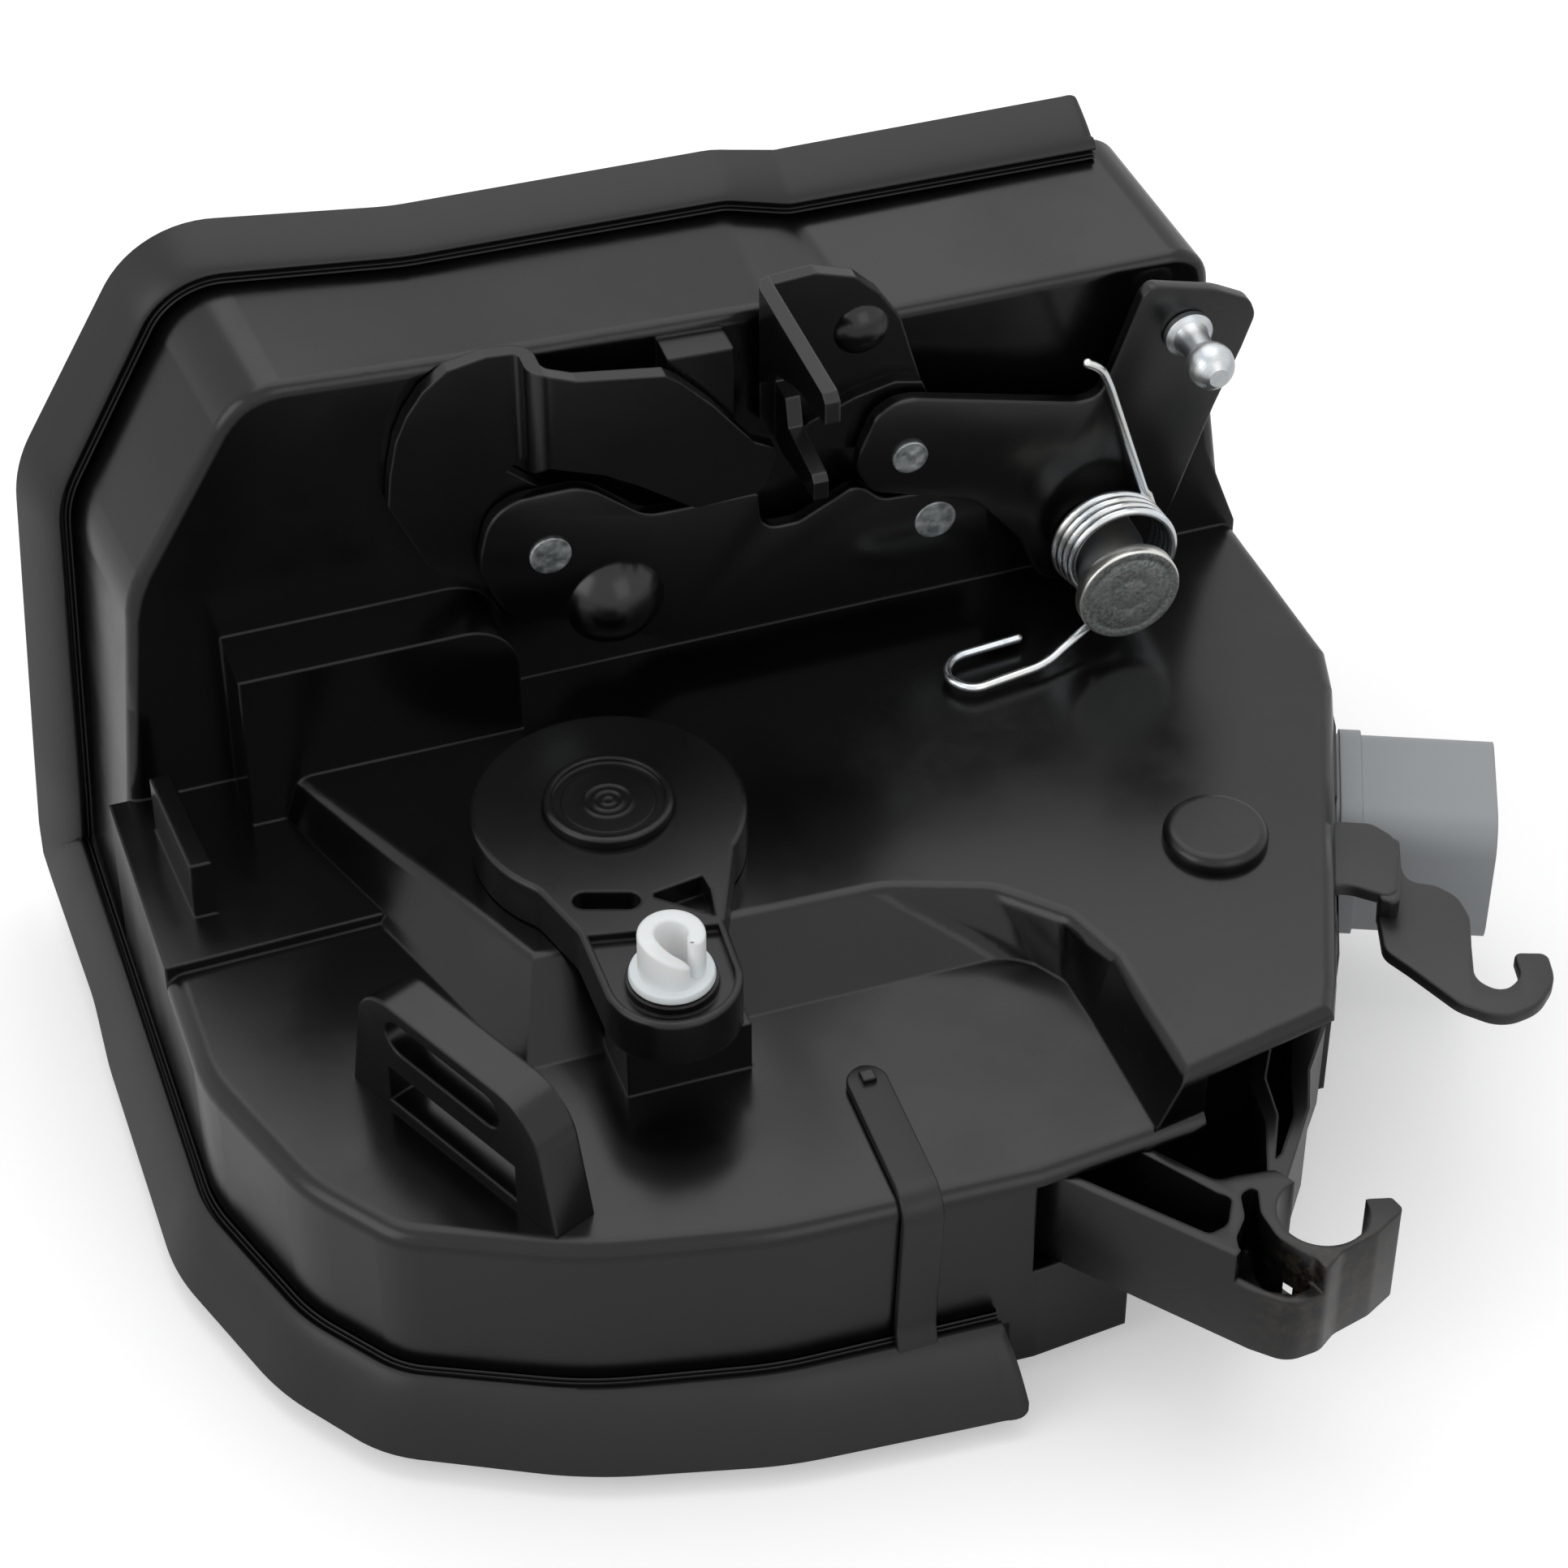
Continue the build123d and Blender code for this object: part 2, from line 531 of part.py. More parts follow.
with BuildPart() as pawl_pin:
    with BuildSketch(front_plane(-0.1)):
        with Locations((pawl_pin_x, pawl_pin_z)):
            Circle(pawl_pin_r)
    extrude(amount=-0.1 - guide_front + 0.5)
pawl_pin.part.label = "pawl_pin"
export_step(pawl_pin.part, "parts/pawl_pin.step")


def coil_part(mean_r, wire, pitch, turns, start_angle, where):
    """Open coil along +Z of a plane, wound anticlockwise from start_angle."""
    with BuildPart() as coil:
        with BuildLine() as run:
            Helix(pitch, pitch * turns, mean_r)
        with BuildSketch(Plane(run.line @ 0, z_dir=run.line % 0)):
            Circle(wire / 2)
        sweep(path=run.line, is_frenet=True)
    turned = coil.part.rotate(Axis.Z, start_angle)
    return where.location * turned


# ---- claw spring and pawl spring in their recesses ----
coil_y = pocket_y - 0.9
claw_coil = coil_part(4.9, 1.2, 1.5, 2.5, 0.0,
                      front_plane(coil_y).shift_origin((claw_pin_x, coil_y, claw_pin_z)))
claw_coil.label = "claw_spring"
export_step(claw_coil, "parts/claw_spring.step")

pawl_coil = coil_part(4.8, 1.2, 1.5, 2.5, 90.0,
                      front_plane(coil_y).shift_origin((pawl_pin_x, coil_y, pawl_pin_z)))
pawl_coil.label = "pawl_spring"
export_step(pawl_coil, "parts/pawl_spring.step")

# ---- back cover: closes the upper box round the latch body ----
with BuildPart() as back_cover:
    with BuildSketch(front_plane(rim_y)):
        add(upper_outline(1.0 + cover_t / (wall_y - rim_y), -wall - 3 * cover_gap))
        Polygon((-45.4, panel_z), (-45.4, 38.2), (-36.2, 53.4), (54.2, 53.4), (66.4, 40.2),
                (66.4, panel_z), align=None, mode=Mode.SUBTRACT)
    extrude(amount=cover_t)
back_cover.part.label = "back_cover"
export_step(back_cover.part, "parts/back_cover.step")

# ---- bottom cover: closes the lower box ----
with BuildPart() as bottom_cover:
    with BuildSketch(Plane.XY.offset(panel_z)):
        add(deck_outline(-wall - cover_gap))
        with Locations((0, wall_y / 2)):
            Rectangle(260, wall - wall_y + 2 * cover_gap, mode=Mode.SUBTRACT)
        Polygon((27.4, -200.0), (27.4, -154.0), (54.0, -131.0), (100.0, -131.0), (100.0, -200.0),
                align=None, mode=Mode.SUBTRACT)
    extrude(amount=cover_t)
bottom_cover.part.label = "bottom_cover"
export_step(bottom_cover.part, "parts/bottom_cover.step")

# ---- guide plate over the release lever ----
with BuildPart() as guide_plate:
    with BuildSketch(front_plane(guide_back)) as guide_face:
        Polygon((-34.0, 40.4), (-24.0, 41.2), (-12.0, 33.0), (5.5, 33.2), (8.2, 28.2), (12.3, 26.4),
                (17.0, 28.0), (21.5, 31.5), (24.5, 27.0), (36.0, 26.4), (41.0, 25.4), (47.6, 23.5),
                (47.6, 5.8), (-8.0, 5.8), (-22.0, 14.0), (-36.0, 21.0), align=None)
        with Locations((pawl_pin_x, pawl_pin_z)):
            Circle(11.8)
        fillet(guide_face.vertices().filter_by(lambda v: 8 < v.X < 18), 2.5)
        with Locations((pawl_pin_x, pawl_pin_z)):
            Circle(pawl_pin_r + pin_fit, mode=Mode.SUBTRACT)
        with Locations((claw_pin_x, claw_pin_z)):
            Circle(claw_pin_r + pin_fit, mode=Mode.SUBTRACT)
    extrude(amount=sheet)
    # pressed dome
    with BuildSketch(front_plane(guide_front + 0.5)):
        with Locations((-16.5, 18.0)):
            Circle(6.5)
    extrude(amount=3.6, taper=25)
    fillet(guide_plate.faces().sort_by(Axis.Y)[0].edges(), 2.0)
guide_plate.part.label = "guide_plate"
export_step(guide_plate.part, "parts/guide_plate.step")

# ---- release lever: hub and left half by the wall, right half folded forward ----
fold_back = guide_front - 1.6
with BuildPart() as release_lever:
    with BuildSketch(front_plane(release_back)) as release_face:
        Polygon((-53.8, 44.0), (-53.2, 49.6), (-51.8, 56.4), (-49.9, 60.7), (-47.1, 64.7), (-43.0, 68.0),
                (-36.4, 69.2), (-29.0, 68.5), (-29.0, 50.5), (-34.1, 46.3), (-27.0, 40.0),
                (-19.0, 34.0), (-19.5, 25.0), (-28.5, 20.0), (-38.0, 23.0), (-48.0, 30.5), align=None)
        fillet(release_face.vertices().filter_by(lambda v: v.Y < 31), 4.0)
        with Locations((pawl_pin_x, pawl_pin_z)):
            Circle(pawl_pin_r + pin_fit, mode=Mode.SUBTRACT)
    extrude(amount=sheet)
    with BuildSketch(front_plane(release_back)):
        Polygon((-31.5, 68.74), (-29.0, 68.5), (-29.0, 50.5), (-31.5, 48.44), align=None)
    extrude(amount=release_back - fold_back + sheet)
    with BuildSketch(front_plane(fold_back)) as release_arm:
        Polygon((-31.5, 68.74), (-29.0, 68.5), (-24.0, 66.4), (-9.6, 64.0), (-7.0, 62.0), (-1.7, 56.2),
                (5.0, 47.3), (8.5, 45.3), (8.9, 43.9), (6.0, 37.0), (-5.0, 36.5), (-14.5, 43.5),
                (-20.0, 47.0), (-29.0, 50.5), (-31.5, 48.44), align=None)
        fillet(release_arm.vertices().filter_by(lambda v: v.Y < 40), 1.5)
    extrude(amount=sheet)
    folds = release_lever.edges().filter_by(Axis.Z).filter_by(lambda e: e.length > 15)
    folds = folds.filter_by(lambda e: -32 < e.center().X < -28.5).sort_by(Axis.Y)
    fillet(folds[1:3], fold_r)
    folds = release_lever.edges().filter_by(Axis.Z).filter_by(lambda e: e.length > 15)
    folds = folds.filter_by(lambda e: -32 < e.center().X < -28.5).sort_by(Axis.Y)
    fillet([folds[0], folds[-1]], fold_r + sheet)
release_lever.part.label = "release_lever"
export_step(release_lever.part, "parts/release_lever.step")

# ---- outside lever with the rod's ball stud, on the main pin ----
with BuildPart() as outside_lever:
    with BuildSketch(front_plane(outside_back)) as outside_face:
        Polygon((22.9, 36.0), (23.4, 39.5), (26.1, 46.3), (29.6, 48.2), (33.0, 48.1), (62.3, 40.3),
                (64.8, 40.9), (66.1, 43.0), (72.0, 59.5), (73.3, 60.8), (85.0, 57.3), (91.0, 54.0),
                (92.2, 51.1), (90.3, 44.6), (86.2, 33.9), (78.3, 10.0), (74.0, 4.0), (65.0, 1.6),
                (56.0, 4.4), (52.5, 14.0), (44.0, 24.5), (33.0, 28.4), (25.5, 31.0), align=None)
        fillet(outside_face.vertices().filter_by(lambda v: v.Y < 15), 3.5)
        fillet(outside_face.vertices().filter_by(lambda v: v.X < 34), 1.5)
        with Locations((main_pin_x, main_pin_z)):
            Circle(main_pin_r + pin_fit, mode=Mode.SUBTRACT)
        with Locations((lift_pin_x, lift_pin_z)):
            Circle(lift_pin_r + pin_fit, mode=Mode.SUBTRACT)
        with Locations((ball_x, ball_z)):
            Circle(2.2 + pin_fit, mode=Mode.SUBTRACT)
    extrude(amount=sheet)
outside_lever.part.label = "outside_lever"
export_step(outside_lever.part, "parts/outside_lever.step")

with BuildPart() as ball_stud:
    with BuildSketch(Plane.XY):
        with BuildLine():
            Polyline((0, 1.0), (3.4, 1.0), (3.4, 0.1), (2.2, 0.1), (2.2, -sheet - 0.1), (4.1, -sheet - 0.1),
                     (4.1, -sheet - 1.7), (2.4, -sheet - 2.3), (2.4, -9.4))
            RadiusArc((2.4, -9.4), (2.2, -14.9), -ball_r)
            Polyline((2.2, -14.9), (1.5, -15.3), (0, -15.3), (0, 1.0))
        make_face()
    revolve(axis=Axis.Y)
stud = ball_stud.part.moved(Location((ball_x, outside_back, ball_z)))
stud.label = "ball_stud"
export_step(stud, "parts/ball_stud.step")

# ---- link pin that carries the lift lever on the outside lever ----
with BuildPart() as link_pin:
    with BuildSketch(front_plane(release_back + 0.2)):
        with Locations((lift_pin_x, lift_pin_z)):
            Circle(lift_pin_r)
    extrude(amount=release_back - outside_front + 0.9)
link_pin.part.label = "link_pin"
export_step(link_pin.part, "parts/link_pin.step")

# ---- lift lever: plate behind the outside lever with two forward fingers ----
with BuildPart() as lift_lever:
    with BuildSketch(front_plane(release_back)) as lift_face:
        Polygon((8.0, 44.0), (8.0, 72.0), (17.7, 72.6), (24.5, 70.3), (28.6, 66.2), (32.2, 60.6),
                (34.1, 53.7), (38.0, 40.0), (35.0, 31.5), (29.0, 31.5), (25.0, 38.0), (14.0, 40.0),
                align=None)
        fillet(lift_face.vertices().filter_by(lambda v: v.X > 16 and v.Y > 60), 2.5)
        fillet(lift_face.vertices().filter_by(lambda v: v.Y < 41 and v.X > 26), 2.0)
        with Locations((lift_pin_x, lift_pin_z)):
            Circle(lift_pin_r + pin_fit, mode=Mode.SUBTRACT)
    extrude(amount=sheet)
    # upper finger
    with BuildSketch(Plane.YZ.offset(8.0)):
        Polygon((release_back, 72.4), (-68.5, 73.0), (-70.0, 72.0), (-70.0, 68.0), (-58.0, 66.0),
                (-46.0, 61.0), (-40.0, 55.0), (release_back, 52.0), align=None)
    extrude(amount=sheet)
    finger_root = lift_lever.edges().filter_by(Axis.Z).filter_by(lambda e: e.length > 15)
    fillet(finger_root.sort_by_distance((8.0, release_back, 60.0))[0], fold_r + sheet)
    # lower finger
    with BuildSketch(Plane.YZ.offset(11.0)):
        Polygon((release_back, 53.0), (-42.7, 52.9), (-44.2, 48.0), (-55.5, 46.9), (-56.6, 46.0),
                (-56.6, 42.6), (-50.0, 42.0), (-41.0, 40.8), (release_back, 42.0), align=None)
    extrude(amount=sheet)
    # link sheet just behind the outside lever
    with BuildSketch(front_plane(guide_back + 0.2)):
        Polygon((11.5, 42.0), (15.7, 45.4), (24.0, 48.6), (30.5, 50.0), (35.2, 48.9), (38.5, 40.0),
                (35.0, 32.0), (29.0, 32.0), (25.0, 38.0), (13.0, 40.6), align=None)
        with Locations((lift_pin_x, lift_pin_z)):
            Circle(lift_pin_r + pin_fit, mode=Mode.SUBTRACT)
    extrude(amount=sheet - 0.1)
    with BuildSketch(front_plane(release_back - sheet + 0.1)):
        with Locations((lift_pin_x, lift_pin_z)):
            Circle(5.4)
            Circle(lift_pin_r + pin_fit, mode=Mode.SUBTRACT)
    extrude(amount=1.2)
    # pressed dimple
    with BuildSketch(front_plane(release_back - sheet + 0.3)):
        with Locations((25.0, 61.0)):
            Circle(3.0)
    extrude(amount=1.5, taper=30)
lift_lever.part.label = "lift_lever"
export_step(lift_lever.part, "parts/lift_lever.step")

# ---- main pin, its bush and the lever's torsion spring ----
pin_head_y = -61.5
with BuildPart() as main_pin:
    with BuildSketch(front_plane(wall_y + wall_t - 0.2)):
        with Locations((main_pin_x, main_pin_z)):
            Circle(main_pin_r)
    extrude(amount=wall_y + wall_t - 0.2 - pin_head_y)
    with BuildSketch(front_plane(pin_head_y + 2.4)):
        with Locations((main_pin_x, main_pin_z)):
            Circle(pin_head_r)
    extrude(amount=2.4)
    chamfer(main_pin.faces().sort_by(Axis.Y)[0].edges(), 0.5)
main_pin.part.label = "main_pin"
export_step(main_pin.part, "parts/main_pin.step")

with BuildPart() as spring_bush:
    with BuildSketch(front_plane(outside_front - 0.3)):
        with Locations((main_pin_x, main_pin_z)):
            Circle(8.2)
            Circle(main_pin_r + pin_fit, mode=Mode.SUBTRACT)
    extrude(amount=outside_front - 0.3 - pin_head_y - 2.7)
spring_bush.part.label = "spring_bush"
export_step(spring_bush.part, "parts/spring_bush.step")

wire = 1.6
coil_r = 9.4
leg_angle = 16.5           # where the upper leg leaves the coil, degrees from +X
coil_turns = 4 + (90.0 + leg_angle) / 360.0
coil_back_y = -46.8
coil_pitch = 2.6
coil_front_y = coil_back_y - coil_pitch * coil_turns
low_z = 2.0                # lower leg over the deck
high_y = coil_back_y - 1.2


def in_coil(x, y, z):
    """Point in the coil's own frame: its axis is Z and it starts under the pin."""
    return Vector(main_pin_z - z, main_pin_x - x, y - coil_front_y)


with BuildPart() as torsion_spring:
    # one wire: lower leg, coil from front to back, upper leg
    with BuildLine() as spring_wire:
        turns = Helix(coil_pitch, coil_pitch * coil_turns, coil_r, lefthand=True)
        FilletPolyline(in_coil(48.7, -54.2, low_z), in_coil(33.3, -55.6, low_z),
                       in_coil(35.0, -64.8, low_z), in_coil(50.5, -62.6, low_z),
                       turns @ 0 - (turns % 0) * 5.0, turns @ 0, radius=2.2)
        FilletPolyline(turns @ 1, turns @ 1 + (turns % 1) * 12.0, in_coil(65.2, high_y, 45.0),
                       in_coil(63.4, high_y, 50.2), in_coil(60.2, high_y, 52.0), radius=1.8)
    whole_wire = spring_wire.wire()
    with BuildSketch(Plane(whole_wire @ 0, z_dir=whole_wire % 0)):
        Circle(wire / 2)
    sweep(path=whole_wire)
spring = torsion_spring.part.rotate(Axis.X, -90).rotate(Axis.Y, 90)
spring = spring.moved(Location((main_pin_x, coil_front_y, main_pin_z)))
spring.label = "torsion_spring"
export_step(spring, "parts/torsion_spring.step")

# ---- lock lever on the deck: skirted disc with an arm to the rod clip ----
lock_top = lock_h
with BuildPart() as lock_lever:
    with BuildSketch(Plane.XY.offset(0.3)) as lock_face:
        with Locations((lock_x, lock_y)):
            Circle(lock_r)
        Polygon((-47.5, lock_y - 14.0), (-44.1, -104.5), (-44.1, clip_y), (-22.5, clip_y), (-21.8, -109.5),
                (-15.0, lock_y - 15.0), align=None)
        with Locations((clip_x, clip_y)):
            Circle(10.8)
        fillet(lock_face.vertices().filter_by(lambda v: v.Y > -108 and v.Y < -90 and v.X < -40), 6.0)
    extrude(amount=lock_top - 0.3)
    fillet(lock_lever.faces().sort_by(Axis.Z)[-1].edges(), 0.7)
    # hollow underneath
    with BuildSketch(Plane.XY.offset(0.3)):
        with Locations((lock_x, lock_y)):
            Circle(lock_r - 2.2)
            Circle(hub_r + 3.0, mode=Mode.SUBTRACT)
    extrude(amount=lock_top - 3.0, mode=Mode.SUBTRACT)
    # two windows in the arm
    with BuildSketch(Plane.XY.offset(lock_top)):
        with Locations(Location((-37.8, -99.5), -19.0)):
            SlotOverall(10.6, 3.9)
        Polygon((-30.4, -100.2), (-22.0, -98.9), (-21.8, -102.2), (-22.9, -108.2), (-30.7, -101.1),
                align=None)
    extrude(amount=-4.0, mode=Mode.SUBTRACT)
    # shallow tray round the rod clip, inside a thin rim
    with BuildSketch(Plane.XY.offset(lock_top)):
        with Locations((clip_x, clip_y)):
            Circle(9.6)
        Polygon((-42.9, -106.0), (-42.9, clip_y), (-23.7, clip_y), (-23.1, -110.0), align=None)
        with Locations((clip_x, clip_y)):
            Circle(clip_flange_r + 0.4, mode=Mode.SUBTRACT)
    extrude(amount=-1.6, mode=Mode.SUBTRACT)
    with BuildSketch(Plane.XY.offset(lock_top + 1)):
        with Locations((lock_x, lock_y)):
            Circle(hub_r + pin_fit)
        with Locations((clip_x, clip_y)):
            Circle(3.2)
    extrude(amount=-12.0, mode=Mode.SUBTRACT)
lock_lever.part.label = "lock_lever"
export_step(lock_lever.part, "parts/lock_lever.step")

wheel_low_z = -38.2
wheel_t = 5.0
with BuildPart() as lock_hub:
    with BuildSketch(Plane.XY.offset(0.3)):
        with Locations((lock_x, lock_y)):
            Circle(hub_r)
    extrude(amount=lock_top + 1.9 - 0.3)
    fillet(lock_hub.faces().sort_by(Axis.Z)[-1].edges(), 0.6)
    with BuildSketch(Plane.XY.offset(lock_top + 1.9)):
        with Locations((lock_x, lock_y)):
            Circle(hub_r - 1.3)
    extrude(amount=-1.0, mode=Mode.SUBTRACT)
    with BuildSketch(Plane.XY.offset(wheel_low_z)):
        with Locations((lock_x, lock_y)):
            Circle(shaft_r)
    extrude(amount=0.3 - wheel_low_z)
lock_hub.part.label = "lock_hub"
export_step(lock_hub.part, "parts/lock_hub.step")

# ---- rod clip: natural nylon, keyhole slot for the rod ----
with BuildPart() as rod_clip:
    with BuildSketch(Plane.XY.offset(lock_top)):
        with Locations((clip_x, clip_y)):
            Circle(clip_flange_r)
    extrude(amount=1.7)
    fillet(rod_clip.faces().sort_by(Axis.Z)[-1].edges(), 0.5)
    with BuildSketch(Plane.XY.offset(lock_top + 1.7)):
        with Locations((clip_x, clip_y)):
            Circle(clip_r)
    extrude(amount=7.6)
    fillet(rod_clip.faces().sort_by(Axis.Z)[-1].edges(), 0.6)
    with BuildSketch(Plane.XY.offset(0.8)):
        with Locations((clip_x, clip_y)):
            Circle(3.15)
    extrude(amount=lock_top)
    # bore for the rod and the keyhole's throat to the front
    with BuildSketch(Plane.XY.offset(lock_top + 1.7)):
        with Locations((clip_x - 0.4, clip_y + 0.9)):
            Circle(1.9)
        with Locations(Location((clip_x + 0.9, clip_y - 1.6), 55.0)):
            Rectangle(2.2, 5.0)
        with Locations((clip_x + 1.6, clip_y - 4.6)):
            Rectangle(1.5, 4.6)
    extrude(amount=9.0, mode=Mode.SUBTRACT)
rod_clip.part.label = "rod_clip"
export_step(rod_clip.part, "parts/rod_clip.step")


def gear_face(centre, teeth, phase):
    """Toothed disc; phase is the angle of one tooth's middle, degrees."""
    pitch_r = teeth * tooth_module / 2
    with BuildSketch(Plane.XY) as face:
        with Locations(centre):
            Circle(pitch_r - 1.2 * tooth_module)
        for tooth in range(teeth):
            with Locations(Location(centre, phase + 360.0 * tooth / teeth)):
                Polygon((pitch_r - 1.6 * tooth_module, -0.95 * tooth_module),
                        (pitch_r, -0.62 * tooth_module),
                        (pitch_r + 0.9 * tooth_module, -0.25 * tooth_module),
                        (pitch_r + 0.9 * tooth_module, 0.25 * tooth_module),
                        (pitch_r, 0.62 * tooth_module),
                        (pitch_r - 1.6 * tooth_module, 0.95 * tooth_module), align=None)
    return face.sketch


# ---- lock drive: wheel on the hub's shaft, pinion on the motor's shaft ----
drive_r = (wheel_teeth + pinion_teeth) * tooth_module / 2 + 0.35
motor_x = lock_x + drive_r * cos(radians(motor_turn))
motor_y = lock_y + drive_r * sin(radians(motor_turn))
with BuildPart() as lock_wheel:
    with BuildSketch(Plane.XY.offset(wheel_low_z)):
        add(gear_face((lock_x, lock_y), wheel_teeth, motor_turn))
        with Locations((lock_x, lock_y)):
            Circle(shaft_r + pin_fit, mode=Mode.SUBTRACT)
    extrude(amount=wheel_t)
lock_wheel.part.label = "lock_wheel"
export_step(lock_wheel.part, "parts/lock_wheel.step")

motor_top = -2.5 - 0.3
motor_low = motor_top - motor_l
with BuildPart() as pinion:
    with BuildSketch(Plane.XY.offset(wheel_low_z)):
        add(gear_face((motor_x, motor_y), pinion_teeth, motor_turn + 180.0 + 180.0 / pinion_teeth))
    extrude(amount=wheel_t)
    with BuildSketch(Plane.XY.offset(wheel_low_z)):
        with Locations((motor_x, motor_y)):
            Circle(1.5)
    extrude(amount=motor_low + 6.0 - wheel_low_z)
pinion.part.label = "pinion"
export_step(pinion.part, "parts/pinion.step")

with BuildPart() as motor:
    with BuildSketch(Plane.XY.offset(motor_low)):
        with Locations((motor_x, motor_y)):
            Circle(motor_r)
            Rectangle(40.0, 2 * motor_r - 5.0, mode=Mode.INTERSECT)
    extrude(amount=motor_l)
    with BuildSketch(Plane.XY.offset(motor_low)):
        with Locations((motor_x, motor_y)):
            Circle(4.0)
    extrude(amount=-1.5)
    with BuildSketch(Plane.XY.offset(motor_low - 2)):
        with Locations((motor_x, motor_y)):
            Circle(1.5 + pin_fit)
    extrude(amount=9.0, mode=Mode.SUBTRACT)
motor.part.label = "motor"
export_step(motor.part, "parts/motor.step")

# ---- position switch beside the wheel ----
with BuildPart() as lock_switch:
    with BuildSketch(Plane.XY.offset(panel_z + cover_t + 0.1)):
        with Locations((-66.0, -86.0)):
            Rectangle(6.5, 20.0)
    extrude(amount=10.5)
    with BuildSketch(Plane.YZ.offset(-63.0)):
        with Locations((-82.0, -34.0)):
            Rectangle(3.0, 3.0)
    extrude(amount=1.8)
lock_switch.part.label = "lock_switch"
export_step(lock_switch.part, "parts/lock_switch.step")

# ---- access plug in the deck over the inside lever's pin ----
with BuildPart() as access_plug:
    with BuildSketch(Plane.XY):
        with Locations((button_x, button_y)):
            Circle(button_r)
    extrude(amount=2.6)
    fillet(access_plug.faces().sort_by(Axis.Z)[-1].edges(), 1.7)
    with BuildSketch(Plane.XY.offset(-wall)):
        with Locations((button_x, button_y)):
            Circle(button_r - 4.5)
    extrude(amount=wall)
access_plug.part.label = "access_plug"
export_step(access_plug.part, "parts/access_plug.step")

with BuildPart() as inside_pin:
    with BuildSketch(Plane.XY.offset(-wall - 0.1)):
        with Locations((button_x, button_y)):
            Circle(5.5)
    extrude(amount=hook_high_z + sheet + 0.3 + wall + 0.1)
    with BuildSketch(Plane.XY.offset(-wall - 0.2)):
        with Locations((button_x, button_y)):
            Circle(hook_pin_r)
    extrude(amount=-13.0)
inside_pin.part.label = "inside_pin"
export_step(inside_pin.part, "parts/inside_pin.step")

# ---- inside lever: high root in the housing, jog down, hook outside ----
with BuildPart() as inside_lever:
    with BuildSketch(Plane.XY.offset(hook_high_z)) as root_face:
        Polygon((button_x - 4, button_y + 6.5), (86.0, -103.6), (90.2, -105.9), (92.0, -109.8),
                (91.4, -114.5), (86.9, -123.5), (80.4, -117.6), (button_x + 2, button_y - 8.0), align=None)
        fillet(root_face.vertices().filter_by(lambda v: v.X > 85 and v.Y > -108), 2.5)
        with Locations((button_x, button_y)):
            Circle(8.0)
            Circle(hook_pin_r + pin_fit, mode=Mode.SUBTRACT)
    extrude(amount=sheet)
    # jog from the root down to the hook's level
    with BuildSketch(Plane.XY.offset(hook_low_z)):
        Polygon((93.6, -110.4), (91.0, -109.2), (84.4, -122.2), (86.9, -124.4), align=None)
    extrude(amount=hook_high_z + sheet - hook_low_z)
    with BuildSketch(Plane.XY.offset(hook_low_z)) as hook_face:
        Polygon((93.4, -110.4), (91.1, -117.7), (95.4, -119.5), (97.8, -122.0), (98.2, -126.5),
                (96.0, -132.7), (92.9, -139.5), (94.4, -143.9), (98.9, -141.6), (101.0, -137.6),
                (106.4, -139.7), (103.7, -145.1), (95.8, -149.7), (89.2, -145.9), (84.0, -134.5),
                (81.9, -129.8), (84.4, -122.2), (91.0, -109.2), align=None)
        fillet(hook_face.vertices().filter_by(lambda v: v.X > 88 and v.Y < -136), 1.6)
    extrude(amount=sheet)
inside_lever.part.label = "inside_lever"
export_step(inside_lever.part, "parts/inside_lever.step")

# ---- plug socket in the right wall, with its contacts ----
with BuildPart() as plug_socket:
    with BuildSketch(socket_plane.offset(-7.0)):
        RectangleRounded(socket_w, socket_h, socket_corner)
    extrude(amount=socket_l + 7.0)
    with BuildSketch(socket_plane.offset(0.9)):
        RectangleRounded(socket_w + 1.6, socket_h + 1.2, socket_corner + 0.4)
    extrude(amount=3.6)
    with BuildSketch(socket_plane.offset(socket_l)):
        RectangleRounded(socket_w - 4.0, socket_h - 4.0, socket_corner - 2.0)
    extrude(amount=-19.0, mode=Mode.SUBTRACT)
    with BuildSketch(socket_plane.offset(socket_l - 19.0)):
        with GridLocations(6.0, 7.0, 3, 2):
            Rectangle(2.6 + 2 * cover_gap, 0.8 + 2 * cover_gap)
    extrude(amount=-6.0, mode=Mode.SUBTRACT)
    with BuildSketch(socket_plane.offset(-7.0)):
        RectangleRounded(socket_w - 6.0, socket_h - 6.0, socket_corner - 3.0)
    extrude(amount=9.0, mode=Mode.SUBTRACT)
plug_socket.part.label = "plug_socket"
export_step(plug_socket.part, "parts/plug_socket.step")

with BuildPart() as contact_block:
    with BuildSketch(socket_plane.offset(-6.5)):
        RectangleRounded(socket_w - 6.6, socket_h - 6.6, socket_corner - 3.3)
    extrude(amount=3.0)
    with BuildSketch(socket_plane.offset(-3.6)):
        with GridLocations(6.0, 7.0, 3, 2):
            Rectangle(2.6, 0.8)
    extrude(amount=socket_l - 7.0 + 3.6)
contact_block.part.label = "contact_block"
export_step(contact_block.part, "parts/contact_block.step")

